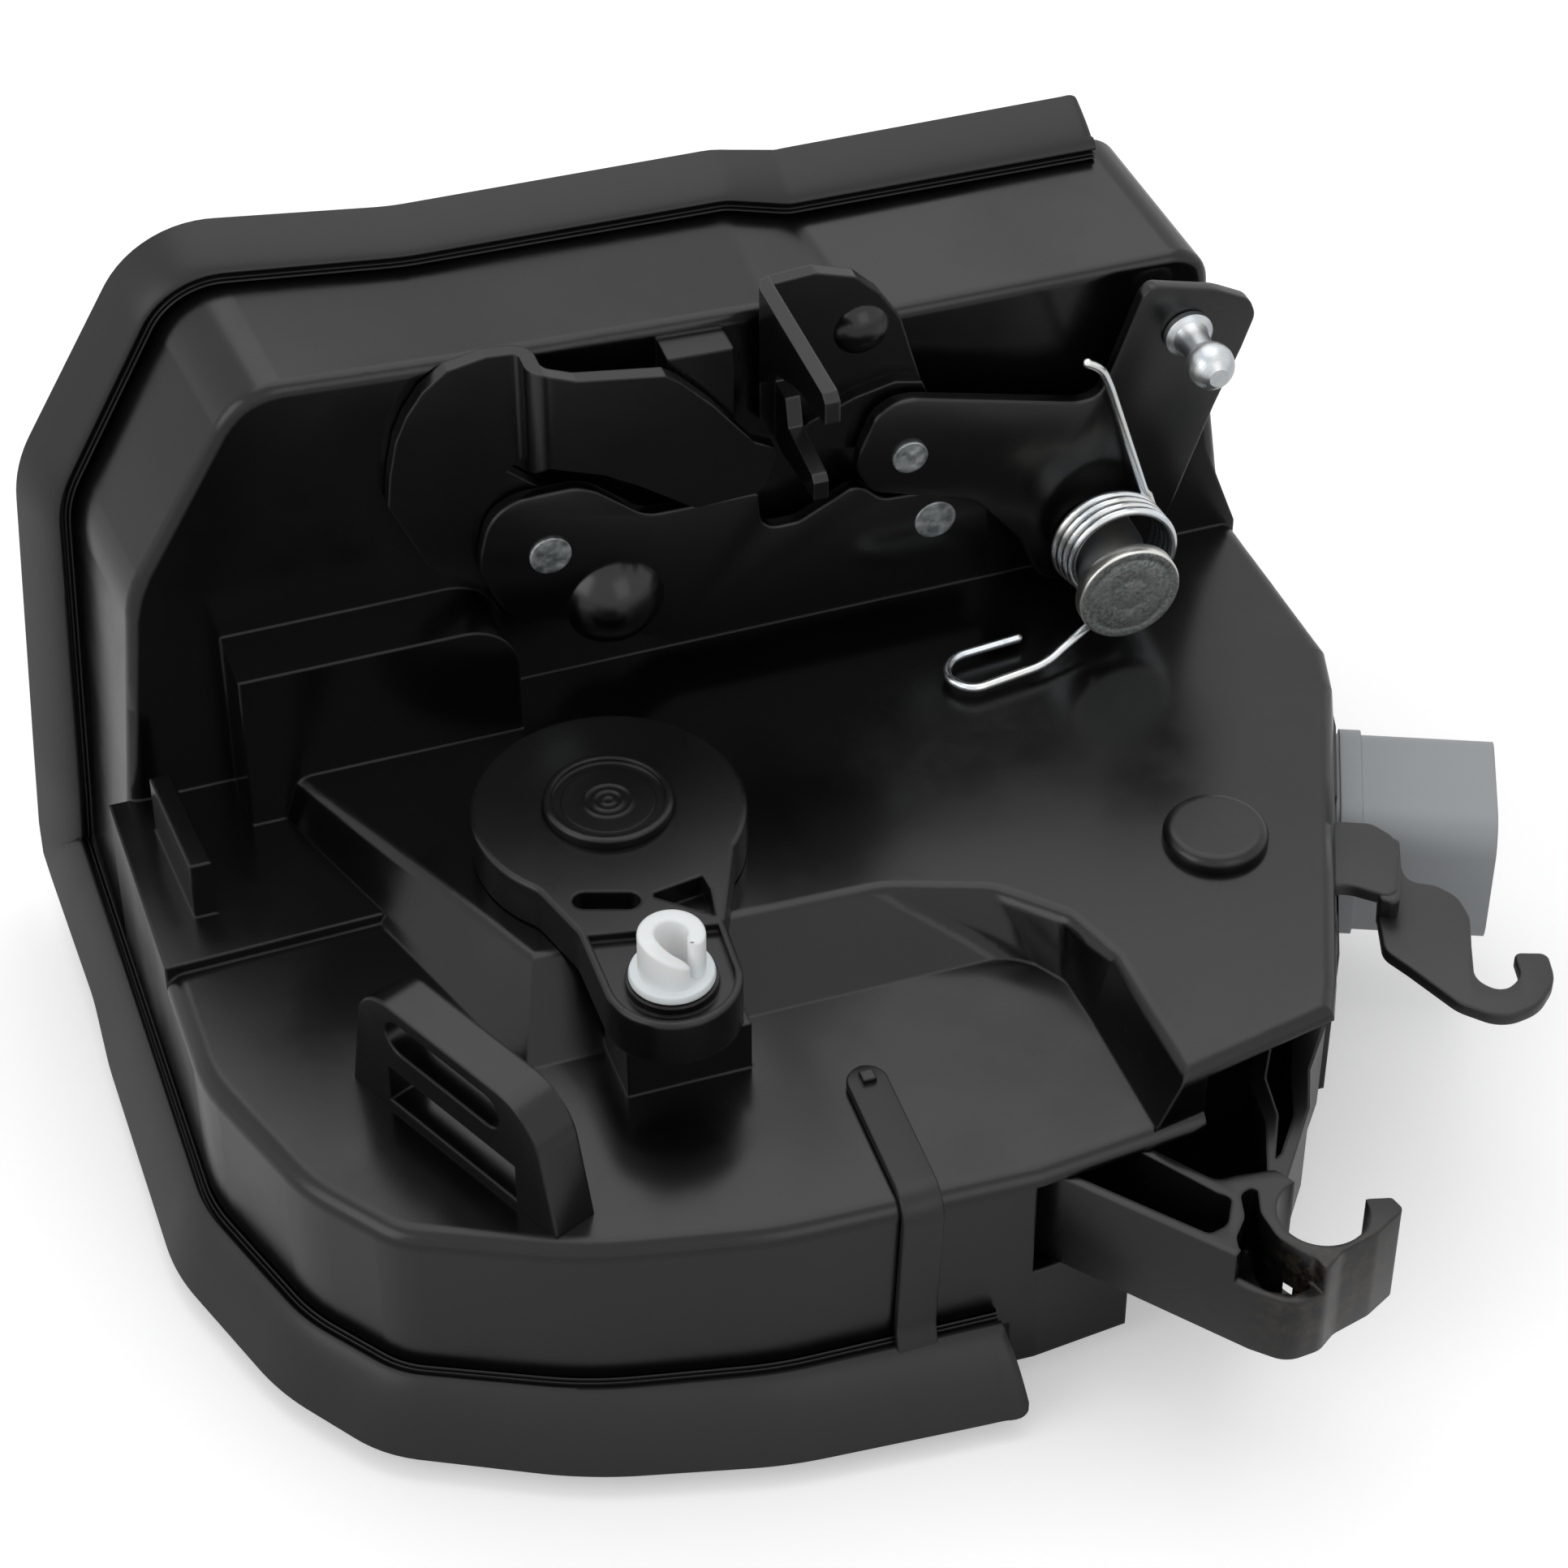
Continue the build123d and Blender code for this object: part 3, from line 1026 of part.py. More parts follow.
# ---- cable bracket: open channel arm with a cable seat and a hook at its end ----
with BuildPart() as cable_bracket:
    with BuildSketch(Plane.XY.offset(arm_low_z)) as arm_face:
        Polygon((4.5, -147.5), (13.6, -155.9), (38.1, -186.5), (41.1, -188.9), (44.7, -188.3),
                (47.2, -185.7), (55.1, -184.6), (61.5, -180.6), (60.2, -177.6), (seat_x, seat_y),
                (46.5, -171.0), (41.5, -169.2), (37.0, -167.6), (27.4, -153.0), (20.0, -144.0),
                (9.0, -143.0), align=None)
        fillet(arm_face.vertices().filter_by(lambda v: v.Y < -183.9), 2.0)
        with Locations((seat_x, seat_y)):
            Circle(seat_r, mode=Mode.SUBTRACT)
    extrude(amount=arm_top_z - arm_low_z)
    # channel between the two rails, open at the top
    with BuildSketch(Plane.XY.offset(arm_top_z)):
        Polygon((8.2, -147.6), (31.4, -175.4), (34.4, -174.6), (37.3, -170.6), (25.4, -152.8), (19.0, -145.6),
                (10.0, -145.0), align=None)
    extrude(amount=arm_low_z + 2.0 - arm_top_z, mode=Mode.SUBTRACT)
    # pocket under the cable seat, with a drain hole
    with BuildSketch(Plane.XY.offset(arm_top_z)):
        Polygon((39.4, -181.8), (42.2, -184.4), (46.0, -184.0), (44.0, -181.6), (42.0, -178.2),
                (41.2, -174.0), (41.8, -171.4), (39.6, -171.6), (36.4, -176.8), (36.6, -180.0), align=None)
    extrude(amount=arm_low_z + 3.0 - arm_top_z, mode=Mode.SUBTRACT)
    with BuildSketch(Plane.XY.offset(arm_top_z)):
        with Locations(Location((40.8, -180.0), -35.0)):
            SlotOverall(4.4, 2.4)
    extrude(amount=arm_low_z - 1.0 - arm_top_z, mode=Mode.SUBTRACT)
cable_bracket.part.label = "cable_bracket"
export_step(cable_bracket.part, "parts/cable_bracket.step")

# ---- cable guide: windowed wall between the deck's corner and the cable seat ----
with BuildPart() as cable_guide:
    with BuildSketch(Plane.XY.offset(arm_low_z + 1.0)):
        Polygon((63.4, -138.0), (66.6, -141.6), (60.4, -149.6), (57.0, -157.0), (50.2, -166.2),
                (47.8, -169.4), (44.4, -169.6), (49.3, -157.6), (50.4, -149.0), (55.0, -141.0), align=None)
    extrude(amount=arm_top_z - arm_low_z - 1.2)
    with BuildSketch(Plane.XY.offset(arm_top_z)):
        Polygon((61.0, -141.2), (57.2, -149.4), (54.0, -157.6), (48.9, -164.4), (47.6, -165.2),
                (51.8, -157.0), (53.2, -149.0), (57.4, -142.0), align=None)
    extrude(amount=-12.0, mode=Mode.SUBTRACT)
    # floor that closes the corner between the guide and the bracket
    with BuildSketch(Plane.XY.offset(arm_low_z + 1.0)):
        Polygon((44.4, -169.6), (41.5, -168.6), (37.9, -167.4), (28.6, -153.2), (30.0, -150.0),
                (52.0, -131.5), (62.0, -131.5), (63.4, -138.0), (50.0, -157.6), align=None)
    extrude(amount=2.0)
cable_guide.part.label = "cable_guide"
export_step(cable_guide.part, "parts/cable_guide.step")
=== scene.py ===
import json
import math

import bmesh
import bpy
import numpy as np
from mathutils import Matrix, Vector


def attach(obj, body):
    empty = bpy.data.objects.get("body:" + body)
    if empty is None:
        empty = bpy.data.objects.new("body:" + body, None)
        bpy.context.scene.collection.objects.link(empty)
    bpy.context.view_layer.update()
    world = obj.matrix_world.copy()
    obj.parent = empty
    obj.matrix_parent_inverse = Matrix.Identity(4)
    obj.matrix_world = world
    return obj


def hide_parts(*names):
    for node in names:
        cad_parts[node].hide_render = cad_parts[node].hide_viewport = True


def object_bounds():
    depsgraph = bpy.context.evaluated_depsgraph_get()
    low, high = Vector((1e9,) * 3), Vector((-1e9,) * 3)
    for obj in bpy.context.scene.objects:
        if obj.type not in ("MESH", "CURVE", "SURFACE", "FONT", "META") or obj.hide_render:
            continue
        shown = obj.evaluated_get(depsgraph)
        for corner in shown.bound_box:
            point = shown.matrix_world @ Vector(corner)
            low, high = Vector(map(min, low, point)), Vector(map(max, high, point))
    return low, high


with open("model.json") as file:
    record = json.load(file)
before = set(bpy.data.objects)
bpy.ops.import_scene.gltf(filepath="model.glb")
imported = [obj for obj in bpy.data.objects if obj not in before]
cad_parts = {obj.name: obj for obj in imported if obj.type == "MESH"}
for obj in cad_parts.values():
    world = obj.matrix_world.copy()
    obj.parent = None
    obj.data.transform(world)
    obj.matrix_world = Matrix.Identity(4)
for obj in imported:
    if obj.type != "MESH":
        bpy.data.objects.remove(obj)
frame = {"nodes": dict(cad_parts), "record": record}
cadLow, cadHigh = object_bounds()
nodes = frame["nodes"]
print("frame loaded:", len(nodes), "nodes")

# ---- view and stage ----
viewSet = {
    "azimuth": -19.0, "elevation": 42.0, "distance": 0.706, "aim": (0.0, -0.074, 0.0),
    "lens": 100.0, "sensor": 36.0,
}
stageSet = {"floorDrop": 0.004, "floorSize": 6.0, "floorColour": (0.86, 0.86, 0.86, 1.0), "glow": 0.35}
lightSet = {
    "world": 0.56, "aim": (0.0, -0.06, 0.0),
    # place, size, power of each soft panel, and whether glossy surfaces mirror it; all face the part
    "lamps": {
        "topPanel": ((0.15, 0.35, 1.25), 1.3, 5.0, True),
        "backPanel": ((0.38, 1.10, 1.05), 1.1, 1.8, False),
        "leftPanel": ((-1.15, -0.35, 0.65), 0.9, 3.8, True),
        "frontPanel": ((0.35, -1.30, 0.75), 0.8, 1.5, True),
    },
}


def aimedAt(place, target):
    # turns -Z from place towards target
    return (Vector(target) - Vector(place)).to_track_quat("-Z", "Y").to_euler()


def makeCamera():
    a, e = math.radians(viewSet["azimuth"]), math.radians(viewSet["elevation"])
    away = Vector((math.sin(a) * math.cos(e), -math.cos(a) * math.cos(e), math.sin(e)))
    eye = Vector(viewSet["aim"]) + away * viewSet["distance"]
    data = bpy.data.cameras.new("photoCamera")
    data.lens, data.sensor_width = viewSet["lens"], viewSet["sensor"]
    data.clip_start, data.clip_end = 0.01, 50.0
    camera = bpy.data.objects.new("photoCamera", data)
    camera.location, camera.rotation_euler = eye, aimedAt(eye, viewSet["aim"])
    bpy.context.scene.collection.objects.link(camera)
    bpy.context.scene.camera = camera


def makeLamps():
    for name, (place, size, power, mirrored) in lightSet["lamps"].items():
        data = bpy.data.lights.new(name, "AREA")
        data.shape, data.size, data.energy = "SQUARE", size, power
        lamp = bpy.data.objects.new(name, data)
        lamp.location, lamp.rotation_euler = place, aimedAt(place, lightSet["aim"])
        lamp.visible_glossy = mirrored
        bpy.context.scene.collection.objects.link(lamp)


# ---- shader shorthand ----
class Signal:
    # one output socket; the operators add Math nodes to its tree
    def __init__(self, finish, socket):
        self.finish, self.socket = finish, socket

    def mathsWith(self, operation, *values):
        return self.finish.node("ShaderNodeMath", {"operation": operation}, dict(enumerate(values)))

    def __add__(self, other): return self.mathsWith("ADD", self, other)
    def __radd__(self, other): return self.mathsWith("ADD", other, self)
    def __sub__(self, other): return self.mathsWith("SUBTRACT", self, other)
    def __rsub__(self, other): return self.mathsWith("SUBTRACT", other, self)
    def __mul__(self, other): return self.mathsWith("MULTIPLY", self, other)
    def __rmul__(self, other): return self.mathsWith("MULTIPLY", other, self)
    def __truediv__(self, other): return self.mathsWith("DIVIDE", self, other)
    def __pow__(self, other): return self.mathsWith("POWER", self, other)
    def __rtruediv__(self, other): return self.mathsWith("DIVIDE", other, self)


class Finish:
    # a material with its Principled shader and the ways of adding nodes to it
    def __init__(self, name, **uniform):
        self.material = bpy.data.materials.new(name)
        self.material.use_nodes = True
        self.tree = self.material.node_tree
        self.shader = self.tree.nodes["Principled BSDF"]
        for socket, value in uniform.items():
            self.shader.inputs[socket.replace("_", " ")].default_value = value
        self.place = self.node("ShaderNodeTexCoord", out="Object")

    def feed(self, socket, value):
        if isinstance(value, Signal):
            self.tree.links.new(value.socket, socket)
        else:
            socket.default_value = value

    def node(self, kind, settings=None, sockets=None, out=0):
        made = self.tree.nodes.new(kind)
        for key, value in (settings or {}).items():
            if key == "stops":
                ramp = made.color_ramp
                while len(ramp.elements) > 1:
                    ramp.elements.remove(ramp.elements[-1])
                for index, (position, colour) in enumerate(value):
                    element = ramp.elements[0] if index == 0 else ramp.elements.new(position)
                    element.position, element.color = position, colour
            else:
                setattr(made, key, value)
        for key, value in (sockets or {}).items():
            self.feed(made.inputs[key], value)
        return Signal(self, made.outputs[out])

    def vectorMaths(self, operation, *values, out=0):
        return self.node("ShaderNodeVectorMath", {"operation": operation}, dict(enumerate(values)), out)

    def softened(self, radius):
        # the normal, rounded over edges within radius
        return self.node("ShaderNodeBevel", {"samples": 4}, {"Radius": radius})

    def shifted(self, scale, offset=(0.0, 0.0, 0.0), turn=(0.0, 0.0, 0.0)):
        # object coordinates times scale, turned and moved
        return self.node("ShaderNodeMapping", None, {
            "Vector": self.place, "Scale": scale, "Location": offset, "Rotation": turn})

    def noise(self, scale, detail=3.0, roughness=0.55, vector=None, distortion=0.0):
        return self.node("ShaderNodeTexNoise", None, {
            "Vector": vector or self.place, "Scale": scale, "Detail": detail,
            "Roughness": roughness, "Distortion": distortion})

    def ramp(self, signal, low, high):
        # 0 below low, 1 above high, smooth between
        return self.node("ShaderNodeMapRange", {"interpolation_type": "SMOOTHSTEP"}, {
            "Value": signal, "From Min": low, "From Max": high})

    def mixed(self, factor, first, second):
        # inputs 6 and 7 and output 2 are the ones that carry colours
        return self.node("ShaderNodeMix", {"data_type": "RGBA"}, {0: factor, 6: first, 7: second}, out=2)

    def spot(self, centre, size):
        # 1 at a place, fading to 0 over size in each direction
        away = self.vectorMaths("DIVIDE", self.vectorMaths("SUBTRACT", self.place, centre), size)
        far = self.vectorMaths("LENGTH", away, out="Value")
        return 1.0 - self.ramp(far, 0.35, 1.0)

    def edges(self, radius, low=0.02, high=0.25):
        # 1 on edges: how far the rounded normal leans from the flat one
        flat = self.node("ShaderNodeNewGeometry", out="Normal")
        alike = self.vectorMaths("DOT_PRODUCT", self.softened(radius), flat, out="Value")
        return self.ramp(1.0 - alike, low, high)

    def bumped(self, height, strength, distance, radius=None):
        # bump on the rounded normal, so crisp edges catch the light
        sockets = {"Height": height, "Strength": strength, "Distance": distance}
        if radius:
            sockets["Normal"] = self.softened(radius)
        self.feed(self.shader.inputs["Normal"], self.node("ShaderNodeBump", None, sockets))

    def mathsOf(self, operation, value):
        return self.node("ShaderNodeMath", {"operation": operation}, {0: value})

    def colour(self, value): self.feed(self.shader.inputs["Base Color"], value)
    def rough(self, value): self.feed(self.shader.inputs["Roughness"], value)


def grey(value, warm=0.0):
    return (value * (1 + warm), value, value * (1 - warm), 1.0)


def toned(colour, share):
    return tuple(c * share for c in colour) + (1.0,)


# ---- finishes ----
def mouldedBlack(name, tone=0.0020, gloss=0.19, grain=0.07, smear=None, patina=None):
    made = Finish(name, IOR=1.46)
    cloud = made.noise(14.0, 4.0)
    dust = made.ramp(made.noise(45.0, 6.0, 0.7), 0.58, 0.85)
    specks = made.ramp(made.noise(1100.0, 2.0, 0.5), 0.70, 0.78) * dust
    edge = made.edges(0.0009)
    base = made.mixed(cloud * 0.9, grey(tone * 0.8), grey(tone * 1.3, 0.03))
    base = made.mixed(dust * 0.15 + specks * 0.3, base, grey(tone * 6.0, 0.05))
    if patina:
        rust = made.spot(*patina) * made.ramp(made.noise(330.0, 6.0, 0.75), 0.44, 0.66)
        base = made.mixed(rust * 0.5, base, (0.060, 0.044, 0.032, 1.0))
    # edges painted lighter: partly wear, partly painted highlight
    made.colour(made.mixed(edge * 0.30, base, grey(tone * 6.0, 0.03)))
    rubbed = made.noise(30.0, 5.0, 0.6)
    roughness = gloss + made.ramp(rubbed, 0.42, 0.72) * 0.10
    if smear:
        roughness = roughness + made.spot(*smear) * made.noise(160.0, 5.0, 0.7) * 0.22
    made.rough(roughness)
    made.bumped(made.noise(1500.0, 2.0, 0.5) + made.noise(60.0, 3.0) * 2.0, grain, 0.00005, 0.0007)
    return made.material


def sealRubber(name):
    made = Finish(name, IOR=1.45)
    cloud = made.noise(22.0, 4.0)
    dust = made.ramp(made.noise(60.0, 6.0, 0.7), 0.5, 0.8)
    base = made.mixed(cloud, grey(0.0045, -0.02), grey(0.0075, -0.04))
    made.colour(made.mixed(dust * 0.22, base, grey(0.018, -0.02)))
    made.rough(0.34 + cloud * 0.10)
    made.bumped(made.noise(900.0, 3.0) + made.noise(45.0, 3.0) * 3.0, 0.10, 0.00008, 0.0003)
    return made.material


def coatedSteel(name, tone=0.0013, gloss=0.17):
    made = Finish(name, IOR=1.5)
    cloud = made.noise(30.0, 3.0)
    edge = made.edges(0.0006)
    chips = made.ramp(made.noise(700.0, 4.0, 0.7), 0.45, 0.7)
    base = made.mixed(cloud, grey(tone * 0.8), grey(tone * 1.4, -0.03))
    along = made.shifted((1.0, 1.0, 9.0), turn=(0.0, 0.6, 0.0))
    scratch = made.ramp(made.noise(60.0, 5.0, 0.75, along), 0.68, 0.74)
    base = made.mixed(scratch * 0.2, base, grey(0.02))
    # edges painted lighter, more at the chips: partly wear, partly painted highlight
    made.colour(made.mixed(edge * (0.25 + chips * 0.35), base, grey(0.06, 0.02)))
    made.rough(gloss + made.noise(80.0, 5.0, 0.65) * 0.12)
    made.bumped(made.noise(240.0, 3.0) + made.noise(1500.0, 2.0) * 0.3, 0.08, 0.00006, 0.0005)
    return made.material


def zincPlated(name, tone=0.55, gloss=0.32, tint=0.25, grainScale=900.0):
    made = Finish(name, Metallic=1.0)
    blue, straw = (tone * 0.94, tone, tone * 1.06, 1.0), (tone * 1.04, tone, tone * 0.90, 1.0)
    cloud = made.noise(120.0, 3.0)
    base = made.mixed(made.ramp(cloud, 0.35, 0.65) * tint * 2.0, blue, straw)
    spots = made.ramp(made.noise(grainScale, 4.0, 0.7), 0.52, 0.75)
    made.colour(made.mixed(spots * 0.4, base, grey(tone * 0.45)))
    made.rough(gloss + spots * 0.18 + cloud * 0.08)
    made.bumped(made.noise(grainScale * 0.8, 3.0), 0.25, 0.00006, 0.0004)
    return made.material


# the pin's axis in x and z, and the radii over which the painted reflection on the head's rim fades in
headSet = {"x": 0.065, "z": 0.0125, "paintedRimFrom": 0.00845, "paintedRimAt": 0.0087}


def upsetHead(name):
    # mottled zinc on the face of the pin's head, greener in the hollows, with a painted reflection of the sky
    # on its rim
    made = Finish(name, Metallic=1.0)
    mottle = made.noise(1400.0, 4.0, 0.7)
    patch = made.noise(330.0, 3.0)
    base = made.mixed(made.ramp(mottle, 0.3, 0.7), (0.16, 0.18, 0.175, 1.0), (0.42, 0.45, 0.44, 1.0))
    base = made.mixed(made.ramp(patch, 0.4, 0.65) * 0.5, base, (0.40, 0.42, 0.41, 1.0))
    # the rim is painted bright as a reflection of the sky: sqrt(across^2 + up^2) from the pin's axis goes
    # past 8.45 to 8.70 mm
    across = made.node("ShaderNodeSeparateXYZ", None, {0: made.place}, out="X") - headSet["x"]
    up = made.node("ShaderNodeSeparateXYZ", None, {0: made.place}, out="Z") - headSet["z"]
    rim = made.ramp((across * across + up * up) ** 0.5, headSet["paintedRimFrom"], headSet["paintedRimAt"])
    made.colour(made.mixed(rim, base, (0.78, 0.77, 0.72, 1.0)))
    made.rough(0.42 + mottle * 0.15 - rim * 0.18)
    made.bumped(mottle + patch, 0.30, 0.00012, 0.0003)
    return made.material


def turnedZinc(name, pitch=0.00042):
    # bright plated ball with fine turning lines round its axis: sine of y, one line each pitch
    made = Finish(name, Metallic=1.0)
    axis = made.node("ShaderNodeSeparateXYZ", None, {0: made.place}, out="Y")
    lines = made.mathsOf("SINE", axis * (2 * math.pi / pitch)) * 0.5 + made.noise(900.0, 3.0)
    cloud = made.noise(260.0, 4.0)
    made.colour(made.mixed(made.ramp(cloud, 0.35, 0.7), (0.52, 0.56, 0.59, 1.0), (0.68, 0.69, 0.68, 1.0)))
    made.rough(0.28 + cloud * 0.12)
    made.bumped(lines, 0.18, 0.00005)
    return made.material


def hammeredRivet(name):
    # forming marks of the press on a rivet's end
    made = Finish(name, Metallic=1.0)
    dents = made.node("ShaderNodeTexVoronoi", {"feature": "SMOOTH_F1"}, {
        "Vector": made.place, "Scale": 700.0}, out="Distance")
    cloud = made.noise(400.0, 4.0)
    made.colour(made.mixed(made.ramp(cloud, 0.3, 0.7), (0.24, 0.27, 0.28, 1.0), (0.60, 0.63, 0.64, 1.0)))
    made.rough(0.30 + cloud * 0.25)
    made.bumped(dents + cloud * 0.5, 0.6, 0.0002, 0.0004)
    return made.material


def rolledSteel(name, tone=0.42):
    made = Finish(name, Metallic=1.0)
    streak = made.noise(180.0, 4.0, 0.6, made.shifted((0.12, 1.0, 1.0)))
    cloud = made.noise(28.0, 4.0)
    made.colour(made.mixed(cloud, grey(tone * 0.8, 0.02), grey(tone * 1.1)))
    made.rough(0.34 + streak * 0.14)
    made.bumped(streak, 0.15, 0.00006, 0.0005)
    return made.material


def plainPlastic(name, colour, gloss=0.45, spread=0.15, grainDepth=0.00003, subsurface=0.0):
    made = Finish(name, IOR=1.5, Subsurface_Weight=subsurface)
    cloud = made.noise(40.0, 4.0)
    dust = made.ramp(made.noise(160.0, 5.0, 0.7), 0.56, 0.8)
    base = made.mixed(cloud, toned(colour, 1 - spread), toned(colour, 1 + spread * 0.5))
    made.colour(made.mixed(dust * 0.15, base, toned(colour, 1 - 2 * spread)))
    made.rough(gloss + cloud * 0.1)
    made.bumped(made.noise(1800.0, 3.0), 0.15, grainDepth, 0.0004)
    return made.material


def brassLike(name, tone=(0.72, 0.50, 0.22)):
    made = Finish(name, Metallic=1.0)
    cloud = made.noise(300.0, 4.0)
    made.colour(made.mixed(cloud, toned(tone, 0.7), toned(tone, 1)))
    made.rough(0.28 + cloud * 0.15)
    made.bumped(cloud, 0.2, 0.00005, 0.0003)
    return made.material


def sealedMotor(name):
    made = Finish(name, Metallic=1.0)
    streak = made.noise(200.0, 4.0, 0.6, made.shifted((1.0, 1.0, 0.1)))
    made.colour(made.mixed(streak, grey(0.35), grey(0.5, 0.02)))
    made.rough(0.3 + streak * 0.15)
    made.bumped(streak, 0.1, 0.00005, 0.0005)
    return made.material


finishes = {
    "moulded_black": mouldedBlack("mouldedBlack", smear=((0.030, -0.066, 0.0), (0.024, 0.020, 0.01))),
    "seal_rubber": sealRubber("sealRubber"),
    "zinc_plate": rolledSteel("plateZinc", 0.46),
    "body_plastic": plainPlastic("bodyPlastic", (0.02, 0.02, 0.021), 0.5),
    "forged_steel": rolledSteel("forgedSteel", 0.30),
    "rivet_zinc": hammeredRivet("rivetZinc"),
    "spring_steel": zincPlated("springSteel", 0.35, 0.3, 0.1),
    "coated_steel": coatedSteel("coatedSteel"),
    "grey_coated_steel": coatedSteel("greyCoatedSteel", 0.009, 0.32),
    "ball_zinc": turnedZinc("ballZinc"),
    "head_zinc": upsetHead("headZinc"),
    "sleeve_zinc": zincPlated("sleeveZinc", 0.16, 0.42, 0.4, 700.0),
    "zinc_wire": zincPlated("zincWire", 0.74, 0.16, 0.30, 260.0),
    "lever_plastic": mouldedBlack("leverPlastic", 0.0034, 0.27),
    "natural_nylon": plainPlastic("naturalNylon", (0.90, 0.90, 0.895), 0.34, 0.03, 0.00002, 0.15),
    "gear_plastic": plainPlastic("gearPlastic", (0.70, 0.69, 0.64), 0.42, 0.08),
    "pinion_brass": brassLike("pinionBrass"),
    "motor_can": sealedMotor("motorCan"),
    "switch_plastic": plainPlastic("switchPlastic", (0.03, 0.03, 0.032), 0.4),
    "plug_rubber": mouldedBlack("plugRubber", 0.0026, 0.24),
    "socket_grey": plainPlastic("socketGrey", (0.305, 0.322, 0.338), 0.42, 0.05),
    "contact_brass": brassLike("contactTin", (0.62, 0.60, 0.55)),
    "bracket_black": mouldedBlack("bracketBlack", 0.0032, 0.26,
                                  patina=((0.049, -0.186, -0.022), (0.017, 0.013, 0.018))),
}
for row in frame["record"]["subparts"]:
    data = nodes[row["node"]].data
    data.materials.clear()
    data.materials.append(finishes[row["material_slot"]])
print("finishes made:", len(finishes))


# ---- surfaces on a grid ----
mm = 0.001


def roundedRun(corners):
    # straight runs joined by arcs: an arc of radius r touches both runs r / tan(half the corner) from it
    points = np.array([corner[:2] for corner in corners], float)
    run = [points[:1]]
    for before, corner, after, radius in zip(points, points[1:], points[2:], [c[2] for c in corners[1:-1]]):
        back = (before - corner) / np.linalg.norm(before - corner)
        ahead = (after - corner) / np.linalg.norm(after - corner)
        half = math.acos(float(back @ ahead)) / 2
        if radius == 0 or math.pi / 2 - half < 0.01:
            run.append(corner[None])
            continue
        middle = corner + (back + ahead) / np.linalg.norm(back + ahead) * radius / math.sin(half)
        start = math.atan2(*(corner + back * radius / math.tan(half) - middle)[::-1])
        sweep = math.atan2(*(corner + ahead * radius / math.tan(half) - middle)[::-1]) - start
        sweep = (sweep + math.pi) % (2 * math.pi) - math.pi
        turn = start + np.linspace(0, 1, 24) * sweep
        run.append(middle + radius * np.stack([np.cos(turn), np.sin(turn)], -1))
    run.append(points[-1:])
    return np.concatenate(run)


def evenly(run, step, ends=()):
    # stations along a run, one each step, and one each quarter mm over the last 3 mm of the ends asked for
    length = np.concatenate([[0], np.cumsum(np.linalg.norm(np.diff(run, axis=0), axis=1))])
    places = np.linspace(0, length[-1], int(length[-1] / step) + 2)
    for end in ends:
        close = np.linspace(0, 3.0, 13)
        places = np.concatenate([places, close if end == 0 else length[-1] - close])
    places = np.unique(np.round(places, 4))
    return np.stack([np.interp(places, length, run[:, k]) for k in range(run.shape[1])], -1), places


def shown(name, mesh, finish, sharp):
    # smooth faces with edges sharp above an angle in degrees, one finish, linked to the scene
    mesh.polygons.foreach_set("use_smooth", [True] * len(mesh.polygons))
    mesh.set_sharp_from_angle(angle=math.radians(sharp))
    mesh.materials.clear()
    if finish:
        mesh.materials.append(finish)
    piece = bpy.data.objects.new(name, mesh)
    bpy.context.scene.collection.objects.link(piece)
    return piece


def gridMesh(name, grid, finish=None, sharp=40.0):
    # grid[i, j] is point j of the closed cross-section i; quads join neighbours and n-gons close the two ends
    rows, columns = grid.shape[:2]
    index = np.arange(rows * columns).reshape(rows, columns)
    index = np.concatenate([index, index[:, :1]], 1)
    quads = np.stack([index[:-1, :-1], index[:-1, 1:], index[1:, 1:], index[1:, :-1]], -1).reshape(-1, 4)
    faces = quads.tolist()
    faces += [np.arange(columns)[::-1].tolist(), (np.arange(columns) + (rows - 1) * columns).tolist()]
    mesh = bpy.data.meshes.new(name)
    mesh.from_pydata((grid.reshape(-1, 3) * mm).tolist(), [], faces)
    made = bmesh.new()
    made.from_mesh(mesh)
    bmesh.ops.remove_doubles(made, verts=made.verts, dist=1e-7)
    bmesh.ops.recalc_face_normals(made, faces=made.faces)
    made.to_mesh(mesh)
    made.free()
    return shown(name, mesh, finish, sharp)


# ---- rubber seal: a thin grooved band and a lip that flares from it ----
sealSet = {
    "rimY": -4.0, "panelZ": -42.0, "step": 1.2, "lipWall": 1.1,
    # x, z, corner radius, then how far the lip's tip stands out and back
    "rimRun": [
        (77.2, 62.9, 0, 7.2, 4.0), (23.0, 63.8, 8, 6.7, 4.0), (12.0, 67.0, 8, 5.9, 4.0),
        (-42.0, 68.2, 60, 5.7, 4.0), (-79.1, 72.8, 12, 6.4, 4.0), (-99.6, 35.6, 20, 7.2, 4.0),
        (-102.6, -24.0, 0, 8.0, 4.0), (-103.5, -42.0, 0, 8.0, 5.2),
    ],
    # x, y, corner radius, then how far the tip stands out and down
    "footRun": [
        (-103.5, -4.0, 0, 8.0, 5.4), (-103.5, -37.0, 0, 7.4, 5.8), (-103.5, -50.0, 0, 8.0, 8.9),
        (-103.5, -98.0, 30, 8.0, 9.0), (-94.5, -125.0, 30, 8.0, 9.0), (-84.0, -139.5, 14, 8.4, 9.0),
        (-58.0, -152.0, 60, 9.2, 9.0), (-30.0, -158.0, 60, 10.2, 9.0), (5.4, -159.3, 0, 12.0, 9.0),
    ],
    "upperEdge": -5.0, "lowerEdge": -3.0, "endLean": 1.8, "endRound": 1.8,
    # where both runs meet, how far the blend between their edges reaches, and the free end's bend
    "cornerX": -103.5, "cornerBack": 5.0, "blendRun": 14.0, "bendRun": 9.0, "shrinkOver": 12.0,
    # lip: where it leaves the ridges, the reach that counts as full, and its rounded tip
    "root": 2.1, "fullReach": 8.0, "nose": 0.25,
}


